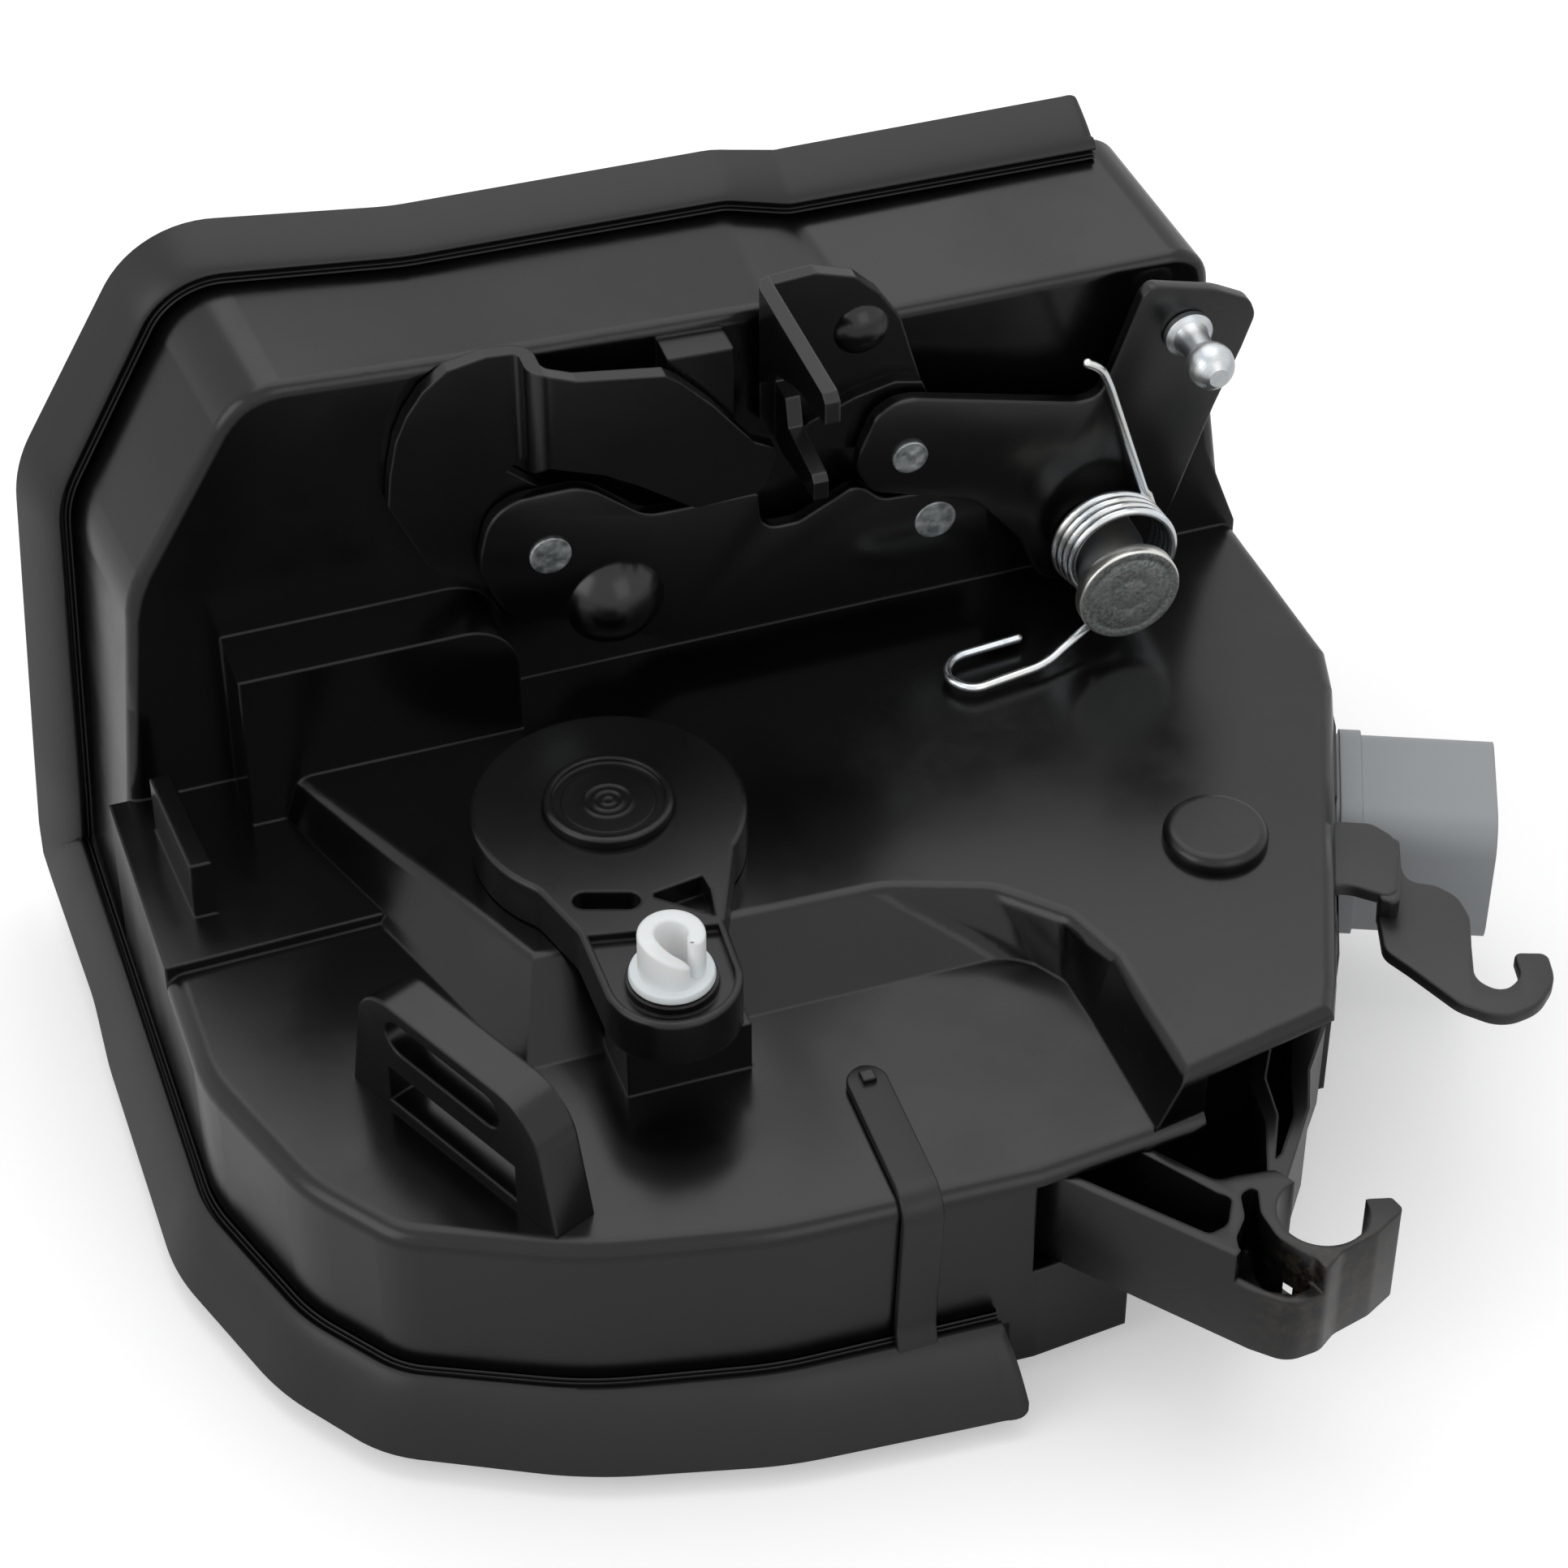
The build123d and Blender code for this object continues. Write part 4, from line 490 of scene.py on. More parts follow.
def lipSection(tipOut, tipBack, edge):
    # arrays with one row for each station; the first columns are the two thin ridges beside the housing,
    # then s runs from the lip's shoulder (0) to its tip (1): out = s^0.9 and back = s^1.4 of the way
    ridges = np.array([
        (0.15, 0.9), (0.20, -0.4), (0.36, -0.62), (0.52, -0.4), (0.58, 0.9), (0.80, 0.9),
        (0.86, -0.2), (1.00, -0.38), (1.14, -0.2), (1.20, 1.1), (1.52, 1.1), (1.58, 0.2), (1.74, -0.2),
    ])
    s = np.linspace(0, 1, 22)
    tipOut, tipBack, edge = tipOut[:, None], tipBack[:, None], edge[:, None]
    ones = np.ones_like(tipOut)
    out = sealSet["root"] + (tipOut - sealSet["root"]) * s ** 0.9
    back = edge - 0.4 + (tipBack - edge + 0.4) * s ** 1.4
    leanOut, leanBack = np.gradient(out, axis=1), np.gradient(back, axis=1)
    size = np.hypot(leanOut, leanBack)
    wall = sealSet["lipWall"] * (1.25 - 0.45 * s)
    innerOut, innerBack = out - wall * leanBack / size, back + wall * leanOut / size
    nose = [(out[:, -1:] + innerOut[:, -1:]) / 2 + sealSet["nose"] * leanOut[:, -1:] / size[:, -1:],
            (back[:, -1:] + innerBack[:, -1:]) / 2 + sealSet["nose"] * leanBack[:, -1:] / size[:, -1:]]
    sectionOut = np.concatenate([ones * ridges[:, 0], out, nose[0], innerOut[:, :4:-1], ones * 0.15], 1)
    sectionBack = np.concatenate(
        [edge + ridges[:, 1], back, nose[1], innerBack[:, :4:-1], np.maximum(edge + 2.5, 0.3)], 1)
    return sectionOut, sectionBack


def sealRing(run, ends, edge):
    # stations of one run with the lip's tip smoothed between the named corners
    path = roundedRun(run)
    stations, places = evenly(path, sealSet["step"], ends)
    marks = np.array([np.argmin(np.linalg.norm(stations - corner[:2], axis=1)) for corner in run])
    order = np.arange(len(stations))
    tips = [np.interp(order, marks, [corner[k] for corner in run]) for k in (3, 4)]
    soft = np.hanning(9) / np.hanning(9).sum()
    tips = [np.convolve(np.pad(tip, 4, "edge"), soft, "valid") for tip in tips]
    along = np.gradient(stations, places, axis=0)
    along /= np.linalg.norm(along, axis=1)[:, None]
    outward = np.stack([along[:, 1], -along[:, 0]], -1)
    left = (places[-1] - places)[:, None] if 1 in ends else places[:, None]
    return stations, outward, tips, left


def buildSeal():
    # upper run in the rim's plane, lower run in the inner panel's plane, mitred where they meet
    rimY, panelZ = sealSet["rimY"], sealSet["panelZ"]
    rings = []
    for run, edge, ends in ((sealSet["rimRun"], sealSet["upperEdge"], (0,)),
                            (sealSet["footRun"], sealSet["lowerEdge"], (1,))):
        stations, outward, (tipOut, tipBack), left = sealRing(run, ends, edge)
        blend = np.ones(len(stations)) * edge
        meeting = np.array((sealSet["cornerX"], panelZ if ends == (0,) else rimY))
        near = np.linalg.norm(stations - meeting, axis=1) / sealSet["blendRun"]
        blend += ((sealSet["upperEdge"] + sealSet["lowerEdge"]) / 2 - edge) * np.clip(1 - near, 0, 1)
        out, back = lipSection(tipOut, tipBack, blend)
        reach = np.clip((out - sealSet["root"]) / sealSet["fullReach"], 0, None)
        bend = np.clip(1 - left / sealSet["bendRun"], 0, 1) ** 2
        rounding = sealSet["endRound"] * (1 - np.sqrt(1 - np.clip(1 - left / sealSet["endRound"], 0, 1) ** 2))
        shorter = 1 - rounding / sealSet["shrinkOver"] * (reach > 0.2)
        out, back = out * shorter, back * shorter
        flat = stations[:, None] + outward[:, None] * out[..., None]
        if ends == (0,):
            grid = np.stack([flat[..., 0], rimY + back, flat[..., 1]], -1)
            grid[..., 2] = np.where(back < 0, np.maximum(grid[..., 2], panelZ - back), grid[..., 2])
        else:
            flat[..., 0] += sealSet["endLean"] * reach * bend
            grid = np.stack([flat[..., 0], flat[..., 1], panelZ - back], -1)
            grid[..., 1] = np.where(back < 0, np.minimum(grid[..., 1], rimY + back), grid[..., 1])
        rings.append((grid, out, back))
    upper, lower = rings[0][0][:-1], rings[1][0][1:]
    back = np.minimum(rings[0][2][-1], sealSet["cornerBack"])
    corner = np.stack([rings[0][0][-1, :, 0], rimY + back, panelZ - rings[1][2][0]], -1)
    grid = np.concatenate([upper, corner[None], lower])
    seal = gridMesh("rubberSeal", grid, finish=finishes["seal_rubber"], sharp=50.0)
    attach(seal, "base")
    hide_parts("seal")


# ---- strap of the seal, over the shelf's edge to its peg ----
strapSet = {
    "width": 6.6, "wall": 1.5, "round": 3.3, "skin": -9.1, "front": -159.75, "bend": 4.0,
    "topY": -130.3, "footZ": -43.4, "topX": -6.9, "edgeX": -7.6, "footX": -8.6,
    "edgeFrom": 25.0, "edgeTo": 34.0, "corner": 0.35, "footRound": 0.8,
}


def buildStrap():
    # centre line: along the shelf, a quarter turn over its edge, down the front wall, out over the lip's root
    skin, front, bend = strapSet["skin"], strapSet["front"], strapSet["bend"]
    turn = np.linspace(0, np.pi / 2, 12)
    line = np.concatenate([
        [(strapSet["topY"], skin), (-140.0, skin), (front + bend + 2.0, skin)],
        np.stack([front + bend - bend * np.sin(turn), skin - bend + bend * np.cos(turn)], -1),
        [(front, -30.0), (front - 0.2, -36.0), (front - 1.6, -39.5), (front - 2.2, strapSet["footZ"])],
    ])
    stations, places = evenly(line, 0.8, (0, 1))
    across = np.interp(places, [0, strapSet["edgeFrom"], strapSet["edgeTo"], places[-1]],
                       [strapSet["topX"], strapSet["topX"] - 0.4, strapSet["edgeX"], strapSet["footX"]])
    along = np.gradient(stations, places, axis=0)
    along /= np.linalg.norm(along, axis=1)[:, None]
    raised = np.stack([along[:, 1], -along[:, 0]], -1)
    raised *= np.sign(raised[:1, 1:] + 1e-9)
    half = strapSet["width"] / 2 * np.sqrt(1 - np.clip(1 - (places + 0.02) / strapSet["round"], 0, 1) ** 2)
    foot = strapSet["footRound"]
    half = np.minimum(half, strapSet["width"] / 2 - foot + foot * np.sqrt(
        1 - np.clip(1 - (places[-1] - places + 0.02) / foot, 0, 1) ** 2))
    corner = strapSet["corner"]
    # cross-section: the four corners v of a rectangle, each with a quarter turn of the edge's radius
    v = np.array([(-1, -1), (1, -1), (1, 1), (-1, 1)], float)
    arc = np.linspace(0, np.pi / 2, 4)
    ring = np.concatenate([
        np.stack([v[k, 0] * np.ones(4), v[k, 1] * np.ones(4)], -1) for k in range(4)])
    lean = np.concatenate([np.stack([np.cos(arc + a), np.sin(arc + a)], -1)
                           for a in (np.pi, -np.pi / 2, 0, np.pi / 2)])
    wide = np.maximum(half - corner, 0)[:, None] * ring[:, 0] + np.minimum(half, corner)[:, None] * lean[:, 0]
    thick = (strapSet["wall"] / 2 - corner) * ring[:, 1] + corner * lean[:, 1]
    grid = np.stack([
        across[:, None] + wide,
        stations[:, :1] + raised[:, :1] * thick, stations[:, 1:] + raised[:, 1:] * thick], -1)
    strap = gridMesh("sealStrap", grid, finish=finishes["seal_rubber"], sharp=50.0)
    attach(strap, "base")


# ---- rings moulded in the lock hub's cap ----
hubSet = {
    "x": -31.0, "y": -78.7, "floor": 9.45, "lift": 0.12, "sunk": 0.1, "outer": 7.6,
    "radii": (0.9, 2.3, 3.8), "half": 0.25, "height": 0.18,
}


def buildHubRings():
    # surface of revolution z(r): flat, with a round ridge of the given half width at each radius
    r = np.unique(np.concatenate([np.linspace(0.02, hubSet["outer"], 90)] + [
        radius + np.linspace(-1, 1, 13) * hubSet["half"] for radius in hubSet["radii"]]))
    rise = sum(np.sqrt(np.clip(1 - ((r - radius) / hubSet["half"]) ** 2, 0, 1)) for radius in hubSet["radii"])
    z = hubSet["floor"] + hubSet["lift"] + hubSet["height"] * rise
    r = np.concatenate([r, [hubSet["outer"] + hubSet["sunk"]]])
    z = np.concatenate([z, [hubSet["floor"] - hubSet["sunk"]]])
    turn = np.linspace(0, 2 * np.pi, 96, endpoint=False)
    grid = np.stack([hubSet["x"] + r[:, None] * np.cos(turn), hubSet["y"] + r[:, None] * np.sin(turn),
                     z[:, None] * np.ones_like(turn)], -1)
    rings = gridMesh("hubRings", grid, finish=finishes["lever_plastic"], sharp=60.0)
    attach(rings, "lock_lever")


# ---- outlines with rounded corners, and solids cut from them ----
def roundedLoop(corners):
    # closed outline of x, y, radius corners; a radius is held to what its two sides leave room for
    points = np.array([corner[:2] for corner in corners], float)
    kept = []
    for index, corner in enumerate(corners):
        back, ahead = points[index - 1] - points[index], points[(index + 1) % len(points)] - points[index]
        sides = np.linalg.norm(back), np.linalg.norm(ahead)
        half = math.acos(np.clip(float(back @ ahead) / (sides[0] * sides[1]), -1, 1)) / 2
        kept.append((corner[0], corner[1], min(corner[2], 0.48 * min(sides) * math.tan(half))))
    return roundedRun([kept[-1]] + kept + [kept[0]])[1:-1]


def extruded(name, outline, low, high, facing="up"):
    # two rings, one at each end of the thickness: facing up they stand in z, facing front in y
    flat = np.repeat(outline[None], 2, 0)
    level = np.broadcast_to(np.array([low, high])[:, None, None], flat.shape[:2] + (1,))
    if facing == "up":
        grid = np.concatenate([flat, level], -1)
    else:
        grid = np.concatenate([flat[..., :1], level, flat[..., 1:]], -1)
    return gridMesh(name, grid)


def finished(name, solid, cutters, finish, bevel=0.4, sharp=35.0):
    # pockets come out with Boolean modifiers, then a bevel rounds the edges; both are applied
    for cutter in cutters:
        cut = solid.modifiers.new("pocket", "BOOLEAN")
        cut.operation, cut.object, cut.solver = "DIFFERENCE", cutter, "EXACT"
    soft = solid.modifiers.new("softEdge", "BEVEL")
    soft.width, soft.segments, soft.limit_method = bevel * mm, 3, "ANGLE"
    soft.angle_limit = math.radians(sharp)
    bpy.context.view_layer.update()
    mesh = bpy.data.meshes.new_from_object(solid.evaluated_get(bpy.context.evaluated_depsgraph_get()))
    mesh.name = name
    for used in [solid] + list(cutters):
        bpy.data.objects.remove(used, do_unlink=True)
    return shown(name, mesh, finish, sharp)


def turned(name, profile, centre, axis, finish, count=72, sharp=35.0):
    # surface of revolution of (radius, height) pairs about an axis through centre
    profile = np.array(profile, float)
    a = np.linspace(0, 2 * np.pi, count, endpoint=False)
    u, v = profile[:, :1] * np.cos(a), profile[:, :1] * np.sin(a)
    h = profile[:, 1:] * np.ones_like(a)
    grid = np.stack([u, v, h] if axis == "z" else [u, h, v], -1) + np.array(centre)
    return gridMesh(name, grid, finish=finish, sharp=sharp)


def bell(reach, height, power, steps=24):
    # height (1 - (r / reach)^2)^power, from the rim to the crown
    r = reach * np.sin(np.linspace(np.pi / 2, 0.01, steps))
    return np.stack([r, height * np.clip(1 - (r / reach) ** 2, 0, 1) ** power], -1)


# ---- ball stud: shank, collar, neck and a true ball with a small flat ----
studSet = {
    "x": 80.0, "y": -41.3, "z": 50.6, "ball": 4.0, "ballAt": -12.5, "neck": 2.5, "flat": 1.9,
    "shank": [(0.02, 1.0), (3.2, 1.0), (3.4, 0.8), (3.4, 0.1), (2.2, 0.1), (2.2, -2.6), (3.9, -2.6),
              (4.15, -2.85), (4.15, -3.9), (3.9, -4.2), (3.1, -4.6), (2.75, -5.4), (2.6, -6.6), (2.5, -8.6)],
    "tip": 1.65, "tipDepth": 3.72,
}


def buildStud():
    # ball arc: radius ball about (0, ballAt), from the neck to the flat
    first = math.pi - math.asin(studSet["neck"] / studSet["ball"])
    last = math.asin(studSet["flat"] / studSet["ball"])
    a = np.linspace(math.pi - first, math.pi - last, 28)
    ball = np.stack([studSet["ball"] * np.sin(a), studSet["ballAt"] + studSet["ball"] * np.cos(a)], -1)
    end = studSet["ballAt"] - studSet["tipDepth"]
    profile = np.concatenate([studSet["shank"], ball, [(studSet["tip"], end), (0.02, end)]])
    stud = turned("ballStud", profile, (studSet["x"], studSet["y"], studSet["z"]), "y", finishes["ball_zinc"])
    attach(stud, "outside_lever")
    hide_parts("ball_stud")


# ---- main pin with its upset head, its sleeve and the torsion spring ----
pinSet = {"x": 65.0, "z": 12.5, "head": -61.5, "headR": 8.9, "headT": 2.5, "shank": 5.0, "back": -32.2}
sleeveProfile = [
    (5.06, -44.1), (6.6, -44.1), (6.8, -44.3), (6.8, -51.0), (6.2, -53.0), (6.2, -58.6), (6.0, -58.8),
    (5.06, -58.8),
]
springSet = {
    # back and front rings of the coil: centre x, y, z and radius
    "wire": 0.8, "turns": 4.3, "back": (66.0, -47.2, 14.0, 9.3), "front": (66.7, -54.6, 15.0, 8.8),
    "lower": [
        (49.0, -54.2, 2.0), (36.0, -55.4, 2.0), (33.0, -59.6, 2.0), (36.0, -64.4, 2.0), (50.5, -62.2, 2.2)],
    "upper": [(72.6, -48.0, 22.0), (65.0, -48.0, 46.2), (63.4, -48.0, 50.0), (60.2, -48.0, 52.0)],
}


def buildPin():
    head, radius, thick = pinSet["head"], pinSet["headR"], pinSet["headT"]
    a = np.linspace(0, np.pi / 2, 7)
    # rounded front edge of the head, then a faint upset ring on its face
    edge = np.stack([radius - 0.35 + 0.35 * np.cos(a), head + 0.35 - 0.35 * np.sin(a)], -1)
    profile = np.concatenate([
        [(0.02, pinSet["back"]), (pinSet["shank"], pinSet["back"]), (pinSet["shank"], head + thick),
         (radius - 0.3, head + thick), (radius, head + thick - 0.3)], edge,
        [(7.5, head), (7.2, head + 0.10), (6.9, head + 0.02), (3.4, head + 0.04), (3.1, head + 0.10),
         (2.8, head + 0.04), (0.02, head + 0.05)]])
    pin = turned("mainPin", profile, (pinSet["x"], 0.0, pinSet["z"]), "y", finishes["head_zinc"], 120, 60.0)
    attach(pin, "base")
    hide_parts("main_pin")
    sleeve = turned("pinSleeve", sleeveProfile, (pinSet["x"], 0.0, pinSet["z"]), "y",
                    finishes["sleeve_zinc"], 96)
    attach(sleeve, "base")
    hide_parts("spring_bush")


def bentLine(points, radius, steps=9):
    # 3-D run whose corners are quadratic arcs that start radius before each one
    points = np.array(points, float)
    run = [points[:1]]
    t = np.linspace(0, 1, steps)[:, None]
    for before, corner, after in zip(points, points[1:], points[2:]):
        reach = min(radius, 0.48 * np.linalg.norm(before - corner), 0.48 * np.linalg.norm(after - corner))
        start = corner + (before - corner) / np.linalg.norm(before - corner) * reach
        end = corner + (after - corner) / np.linalg.norm(after - corner) * reach
        run.append((1 - t) ** 2 * start + 2 * t * (1 - t) * corner + t ** 2 * end)
    run.append(points[-1:])
    return np.concatenate(run)


def wireMesh(name, run, radius, finish, around=14, endRound=0.4):
    # a round wire: the frame is carried along ring by ring without twist
    stations, places = evenly(run, 0.45)
    along = np.gradient(stations, places, axis=0)
    along /= np.linalg.norm(along, axis=1)[:, None]
    side = np.empty_like(along)
    side[0] = np.cross(along[0], (0.31, 0.52, 0.79))
    for ring in range(len(along)):
        carried = side[ring - 1] if ring else side[0]
        carried = carried - along[ring] * (carried @ along[ring])
        side[ring] = carried / np.linalg.norm(carried)
    other = np.cross(along, side)
    a = np.linspace(0, 2 * np.pi, around, endpoint=False)[None, :, None]
    left = np.minimum(places, places[-1] - places)
    size = radius * np.sqrt(1 - np.clip(1 - (left + 0.03) / endRound, 0, 1) ** 2)
    grid = stations[:, None] + size[:, None, None] * (np.cos(a) * side[:, None] + np.sin(a) * other[:, None])
    return gridMesh(name, grid, finish=finish, sharp=60.0)


def buildSpring():
    # coil: centre and radius move evenly from the front ring to the back one as the angle turns
    front, back = np.array(springSet["front"]), np.array(springSet["back"])
    t = np.linspace(0, 1, 260)
    middle = front[None] + (back - front)[None] * t[:, None]
    turn = -np.pi / 2 + 2 * np.pi * springSet["turns"] * t
    coil = np.stack([middle[:, 0] + middle[:, 3] * np.cos(turn), middle[:, 1],
                     middle[:, 2] + middle[:, 3] * np.sin(turn)], -1)
    lower = bentLine(springSet["lower"] + [tuple(coil[0] + (coil[0] - coil[3]) * 1.2)], 3.2)
    upper = bentLine([tuple(coil[-1] + (coil[-1] - coil[-4]) * 1.2)] + springSet["upper"], 2.4)
    run = np.concatenate([lower[:-1], coil, upper[1:]])
    spring = wireMesh("torsionSpring", run, springSet["wire"], finishes["zinc_wire"])
    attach(spring, "base")
    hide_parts("torsion_spring")


# ---- rod clip: a fat C of nylon whose left arm runs down to its tip, on a flange ----
clipSet = {"x": -33.3, "y": -118.6, "foot": 8.6, "flangeR": 6.7, "flangeT": 1.7, "outer": 5.25, "bore": 2.55,
           "height": 9.2, "first": -54.0, "last": 292.0, "drop": 4.0, "dropFrom": 0.70,
           "stations": 96, "soft": 0.55, "level": 1.2, "peg": 3.15, "pegDepth": 7.6}


def buildClip():
    # wall of the C: angle a from first to last; the rounded box's top sinks over the last three tenths
    count, soft = clipSet["stations"], clipSet["soft"]
    a = np.radians(np.linspace(clipSet["first"], clipSet["last"], count))
    t = np.linspace(0, 1, count)
    arc = np.linspace(0, np.pi / 2, 6)
    half = (clipSet["outer"] - clipSet["bore"]) / 2
    left = np.minimum(t, 1 - t) * np.radians(clipSet["last"] - clipSet["first"]) * (clipSet["outer"] - half)
    ends = np.sqrt(1 - np.clip(1 - (left + 0.05) / half, 0, 1) ** 2)
    fade = np.clip((t - clipSet["dropFrom"]) / (1 - clipSet["dropFrom"]), 0, 1)
    top = clipSet["height"] - clipSet["drop"] * fade ** 1.5
    lean = np.stack([np.cos(arc), np.sin(arc)], -1)
    wide, top = (half * ends)[:, None], top[:, None]
    base = np.full((count, 2), clipSet["level"])
    across = np.concatenate([
        wide - soft + soft * lean[:, 0], -wide + soft - soft * lean[::-1, 0], -wide, wide], 1)
    level = np.concatenate([top - soft + soft * lean[:, 1], top - soft + soft * lean[::-1, 1], base], 1)
    radius = clipSet["outer"] - half + across
    grid = np.stack([clipSet["x"] + radius * np.cos(a)[:, None], clipSet["y"] + radius * np.sin(a)[:, None],
                     clipSet["foot"] + level], -1)
    wall = gridMesh("clipWall", grid, finish=finishes["natural_nylon"], sharp=60.0)
    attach(wall, "lock_lever")
    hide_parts("rod_clip")
    r, t = clipSet["flangeR"], clipSet["flangeT"]
    peg, deep = clipSet["peg"], clipSet["pegDepth"]
    flange = turned("clipFlange", [
        (0.02, -deep), (peg - 0.05, -deep), (peg, 0.2 - deep), (peg, 0.02), (r - 0.4, 0.02), (r, 0.35),
        (r, t - 0.8), (r - 0.2, t - 0.25), (r - 0.7, t), (1.0, t), (0.02, t - 0.02)],
        (clipSet["x"], clipSet["y"], clipSet["foot"]), "z", finishes["natural_nylon"])
    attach(flange, "lock_lever")


# ---- pressed dome of the guide plate ----
domeSet = {"x": -17.7, "y": -40.9, "z": 17.2, "reach": 8.3, "height": 5.1, "power": 0.85}


def buildDome():
    profile = bell(domeSet["reach"], domeSet["height"], domeSet["power"]) * (1, -1)
    profile = np.concatenate([[(domeSet["reach"], 0.05)], profile])
    dome = turned("guideDome", profile, (domeSet["x"], domeSet["y"], domeSet["z"]), "y",
                  finishes["coated_steel"], 96, 80.0)
    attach(dome, "base")


# ---- guide plate: round shoulders and the U that the lower finger runs in ----
guideSet = {"back": -38.4, "front": -40.9, "outline": [
    (-40.6, 30.0, 11), (-37.6, 42.2, 9), (-22.0, 42.2, 9), (-12.0, 33.6, 7), (4.6, 33.5, 3),
    (7.0, 33.4, 0.8), (7.6, 25.6, 4), (14.0, 25.6, 4), (24.2, 30.9, 3), (28.5, 26.6, 4), (38.0, 26.0, 8),
    (46.0, 25.4, 4), (47.6, 20.0, 3), (47.6, 5.8, 1), (-8.0, 5.8, 4), (-22.0, 14.0, 10), (-36.0, 18.0, 11)]}


def buildGuide():
    outline = roundedLoop(guideSet["outline"])
    plate = extruded("guideSheet", outline, guideSet["front"], guideSet["back"], "front")
    guide = finished("guidePlate", plate, [], finishes["coated_steel"], 0.3)
    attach(guide, "base")
    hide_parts("guide_plate")


# ---- pressed dimple of the lift lever ----
dimpleSet = {"x": 25.5, "y": -38.0, "z": 59.9, "reach": 4.7, "height": 2.4, "power": 0.8}


def buildDimple():
    profile = bell(dimpleSet["reach"], dimpleSet["height"], dimpleSet["power"]) * (1, -1)
    dimple = turned("liftDimple", profile, (dimpleSet["x"], dimpleSet["y"], dimpleSet["z"]), "y",
                    finishes["coated_steel"], 72, 80.0)
    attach(dimple, "lift_lever")


# ---- outside lever: one plate with worn round corners ----
outsideSet = {"back": -41.3, "front": -43.8, "outline": [
    (22.9, 36.0, 4), (23.4, 39.5, 6), (26.1, 46.3, 5), (29.6, 48.2, 4), (33.0, 48.1, 6), (61.6, 40.4, 8),
    (64.9, 40.6, 3), (66.4, 43.2, 6), (71.9, 59.2, 2.5), (73.4, 60.9, 2.5), (85.0, 57.6, 14),
    (91.2, 54.2, 3.5), (92.4, 51.0, 3.5), (90.3, 44.6, 8), (86.2, 33.9, 6), (78.3, 10.0, 8),
    (74.0, 4.0, 6), (65.0, 1.6, 8),
    (56.0, 4.4, 8), (52.5, 14.0, 9), (44.0, 24.5, 8), (33.0, 28.4, 8), (25.5, 31.0, 5)]}


def buildOutsideLever():
    outline = roundedLoop(outsideSet["outline"])
    plate = extruded("leverPlate", outline, outsideSet["front"], outsideSet["back"], "front")
    lever = finished("outsideLever", plate, [], finishes["coated_steel"], 0.35)
    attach(lever, "outside_lever")
    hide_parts("outside_lever")


# ---- inside lever: root plate, joggle and hook ----
insideSet = {
    "root": (-10.5, -8.0, [
        (57.0, -102.1, 3), (86.0, -103.6, 5), (90.6, -105.7, 3.5), (92.6, -109.6, 3), (91.4, -114.5, 4),
        (86.9, -123.5, 2), (80.4, -117.6, 6), (63.0, -116.6, 3)]),
    "jog": (-14.5, -8.3, [
        (93.5, -110.2, 1.4), (91.0, -108.9, 1.4), (84.2, -122.2, 1), (86.8, -124.6, 1.6), (90.5, -117.4, 4)]),
    "hook": (-14.5, -12.0, [
        (93.2, -110.4, 1), (92.4, -116.4, 3), (96.4, -118.8, 5), (98.6, -122.4, 6), (98.4, -127.4, 8),
        (95.8, -133.2, 8), (92.8, -140.6, 4), (95.8, -144.6, 4), (99.9, -142.6, 4), (101.2, -137.0, 1.2),
        (106.4, -138.9, 1.6), (104.9, -144.9, 8), (100.0, -149.2, 8), (93.2, -150.2, 8), (88.0, -144.6, 8),
        (84.0, -134.5, 5), (81.9, -129.8, 4), (84.4, -122.2, 3), (91.0, -109.2, 1)]),
}


def buildInsideLever():
    for part, (low, high, outline) in insideSet.items():
        plate = extruded(part + "Plate", roundedLoop(outline), low, high)
        piece = finished("insideLever" + part.title(), plate, [], finishes["grey_coated_steel"], 0.5)
        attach(piece, "inside_lever")
        if part == "root":
            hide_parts("inside_lever")


# ---- cable bracket: a moulded arm with a channel, an open cup and the cable's seat ----
armSet = {
    "low": -31.5, "top": -12.8, "step": -18.6,
    "outline": [
        (4.5, -147.5, 0), (13.6, -156.2, 3), (36.2, -184.4, 5), (40.6, -188.7, 5), (46.2, -188.2, 4),
        (49.5, -185.9, 4), (56.0, -184.2, 5), (61.6, -181.2, 1.2), (60.9, -178.4, 0.8), (57.6, -177.5, 0.8),
        (53.0, -177.3, 0), (49.0, -172.0, 0), (46.7, -167.4, 1.5), (40.5, -166.6, 2), (37.2, -166.6, 3),
        (27.4, -153.0, 3), (20.0, -144.0, 2), (9.0, -143.0, 0)],
    # ellipse x, y and its two half widths
    "seat": (50.0, -177.5, 7.0, 7.0),
    "channel": [(8.2, -147.6, 1), (32.0, -176.2, 1.5), (35.4, -175.4, 2.5), (38.2, -170.4, 3),
                (36.6, -168.9, 2), (25.4, -152.2, 3), (19.0, -145.6, 1), (10.0, -145.0, 1)],
    "cup": [(35.6, -178.0, 3), (34.9, -180.6, 2), (38.0, -184.8, 3), (41.6, -186.9, 3), (45.4, -186.3, 2),
            (43.6, -183.6, 3), (41.4, -179.8, 5), (41.0, -174.6, 5), (42.8, -169.2, 2), (39.6, -170.2, 2),
            (38.4, -174.8, 4)],
    "stepCut": [(30.6, -184.4, 0), (36.8, -179.4, 0), (38.4, -183.0, 2), (41.6, -185.4, 2), (45.0, -185.0, 1),
                (46.8, -192.0, 0), (31.0, -192.0, 0)],
    "window": [(41.4, -184.0, 0.3), (44.8, -182.2, 0.3), (48.6, -175.6, 0.3), (45.4, -174.0, 0.3)],
    "windowLow": -25.4, "windowTop": -21.8, "channelFloor": -29.5, "cupFloor": -27.0,
}


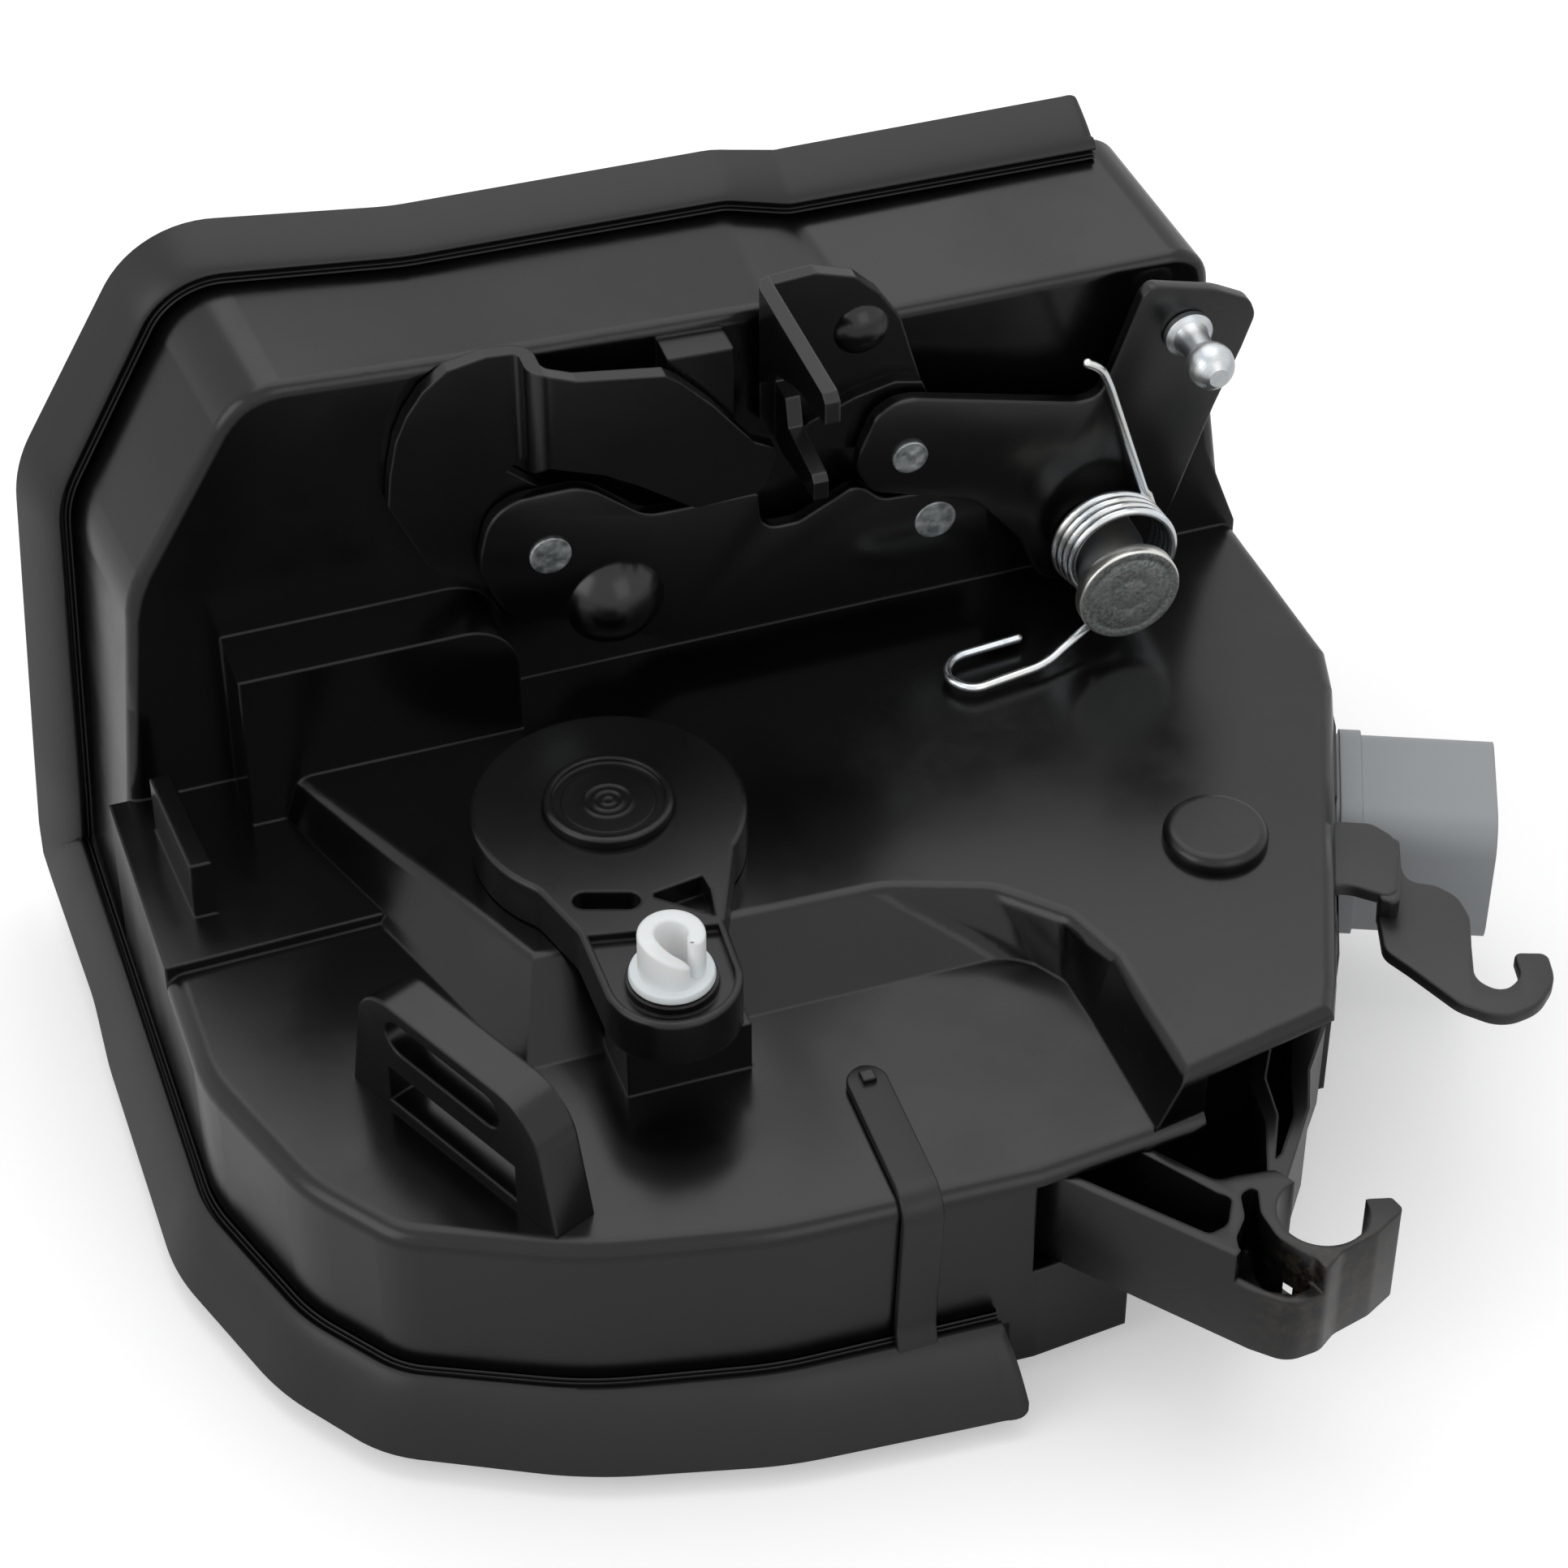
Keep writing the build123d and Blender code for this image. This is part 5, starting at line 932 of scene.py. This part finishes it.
def buildArm():
    low, top = armSet["low"], armSet["top"]
    arm = extruded("armSolid", roundedLoop(armSet["outline"]), low, top)
    x, y, rx, ry = armSet["seat"]
    a = np.linspace(0, 2 * np.pi, 64, endpoint=False)
    seat = np.stack([x + rx * np.cos(a), y + ry * np.sin(a)], -1)
    cutters = [
        extruded("seatCut", seat, low - 1, top + 1),
        extruded("channelCut", roundedLoop(armSet["channel"]), armSet["channelFloor"], top + 1),
        extruded("cupCut", roundedLoop(armSet["cup"]), armSet["cupFloor"], top + 1.1),
        extruded("rimCut", roundedLoop(armSet["stepCut"]), armSet["step"], top + 1.2),
        extruded("windowCut", roundedLoop(armSet["window"]), armSet["windowLow"], armSet["windowTop"]),
    ]
    bracket = finished("cableArm", arm, cutters, finishes["bracket_black"], 0.35)
    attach(bracket, "base")
    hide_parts("cable_bracket")


buildSeal()
buildStrap()
buildHubRings()
buildStud()
buildPin()
buildSpring()
buildClip()
buildDome()
buildGuide()
buildDimple()
buildOutsideLever()
buildInsideLever()
buildArm()
print("pieces built")


def makeFloor():
    half = stageSet["floorSize"] / 2
    level = cadLow.z - stageSet["floorDrop"]
    mesh = bpy.data.meshes.new("floor")
    corners = [(-half, -half, level), (half, -half, level), (half, half, level), (-half, half, level)]
    mesh.from_pydata(corners, [], [(0, 1, 2, 3)])
    floor = bpy.data.objects.new("floor", mesh)
    bpy.context.scene.collection.objects.link(floor)
    made = Finish("floorPaper", Roughness=0.9, Specular_IOR_Level=0.0)
    made.shader.inputs["Base Color"].default_value = stageSet["floorColour"]
    # the camera alone sees a faint glow on top of the paper's own light
    rays = made.node("ShaderNodeLightPath", out="Is Camera Ray")
    glow = made.node("ShaderNodeEmission", None, {"Strength": rays * stageSet["glow"]})
    both = made.node("ShaderNodeAddShader", None, {0: Signal(made, made.shader.outputs[0]), 1: glow})
    made.feed(made.tree.nodes["Material Output"].inputs["Surface"], both)
    mesh.materials.append(made.material)


def makeWorld():
    world = bpy.data.worlds.new("studio")
    bpy.context.scene.world = world
    world.use_nodes = True
    tree = world.node_tree
    path = tree.nodes.new("ShaderNodeLightPath")
    back = tree.nodes["Background"]
    back.inputs["Color"].default_value = (1.0, 1.0, 1.0, 1.0)
    seen = path.outputs["Is Camera Ray"]
    for other in ("Is Glossy Ray", "Is Transmission Ray"):
        add = tree.nodes.new("ShaderNodeMath")
        add.operation, add.use_clamp = "ADD", True
        tree.links.new(seen, add.inputs[0])
        tree.links.new(path.outputs[other], add.inputs[1])
        seen = add.outputs[0]
    span = tree.nodes.new("ShaderNodeMapRange")
    span.inputs["To Min"].default_value = lightSet["world"]
    span.inputs["To Max"].default_value = 1.0
    tree.links.new(seen, span.inputs["Value"])
    tree.links.new(span.outputs[0], back.inputs["Strength"])


makeCamera()
makeLamps()
makeFloor()
makeWorld()
bpy.context.scene.view_settings.view_transform = "Standard"
print("stage set")
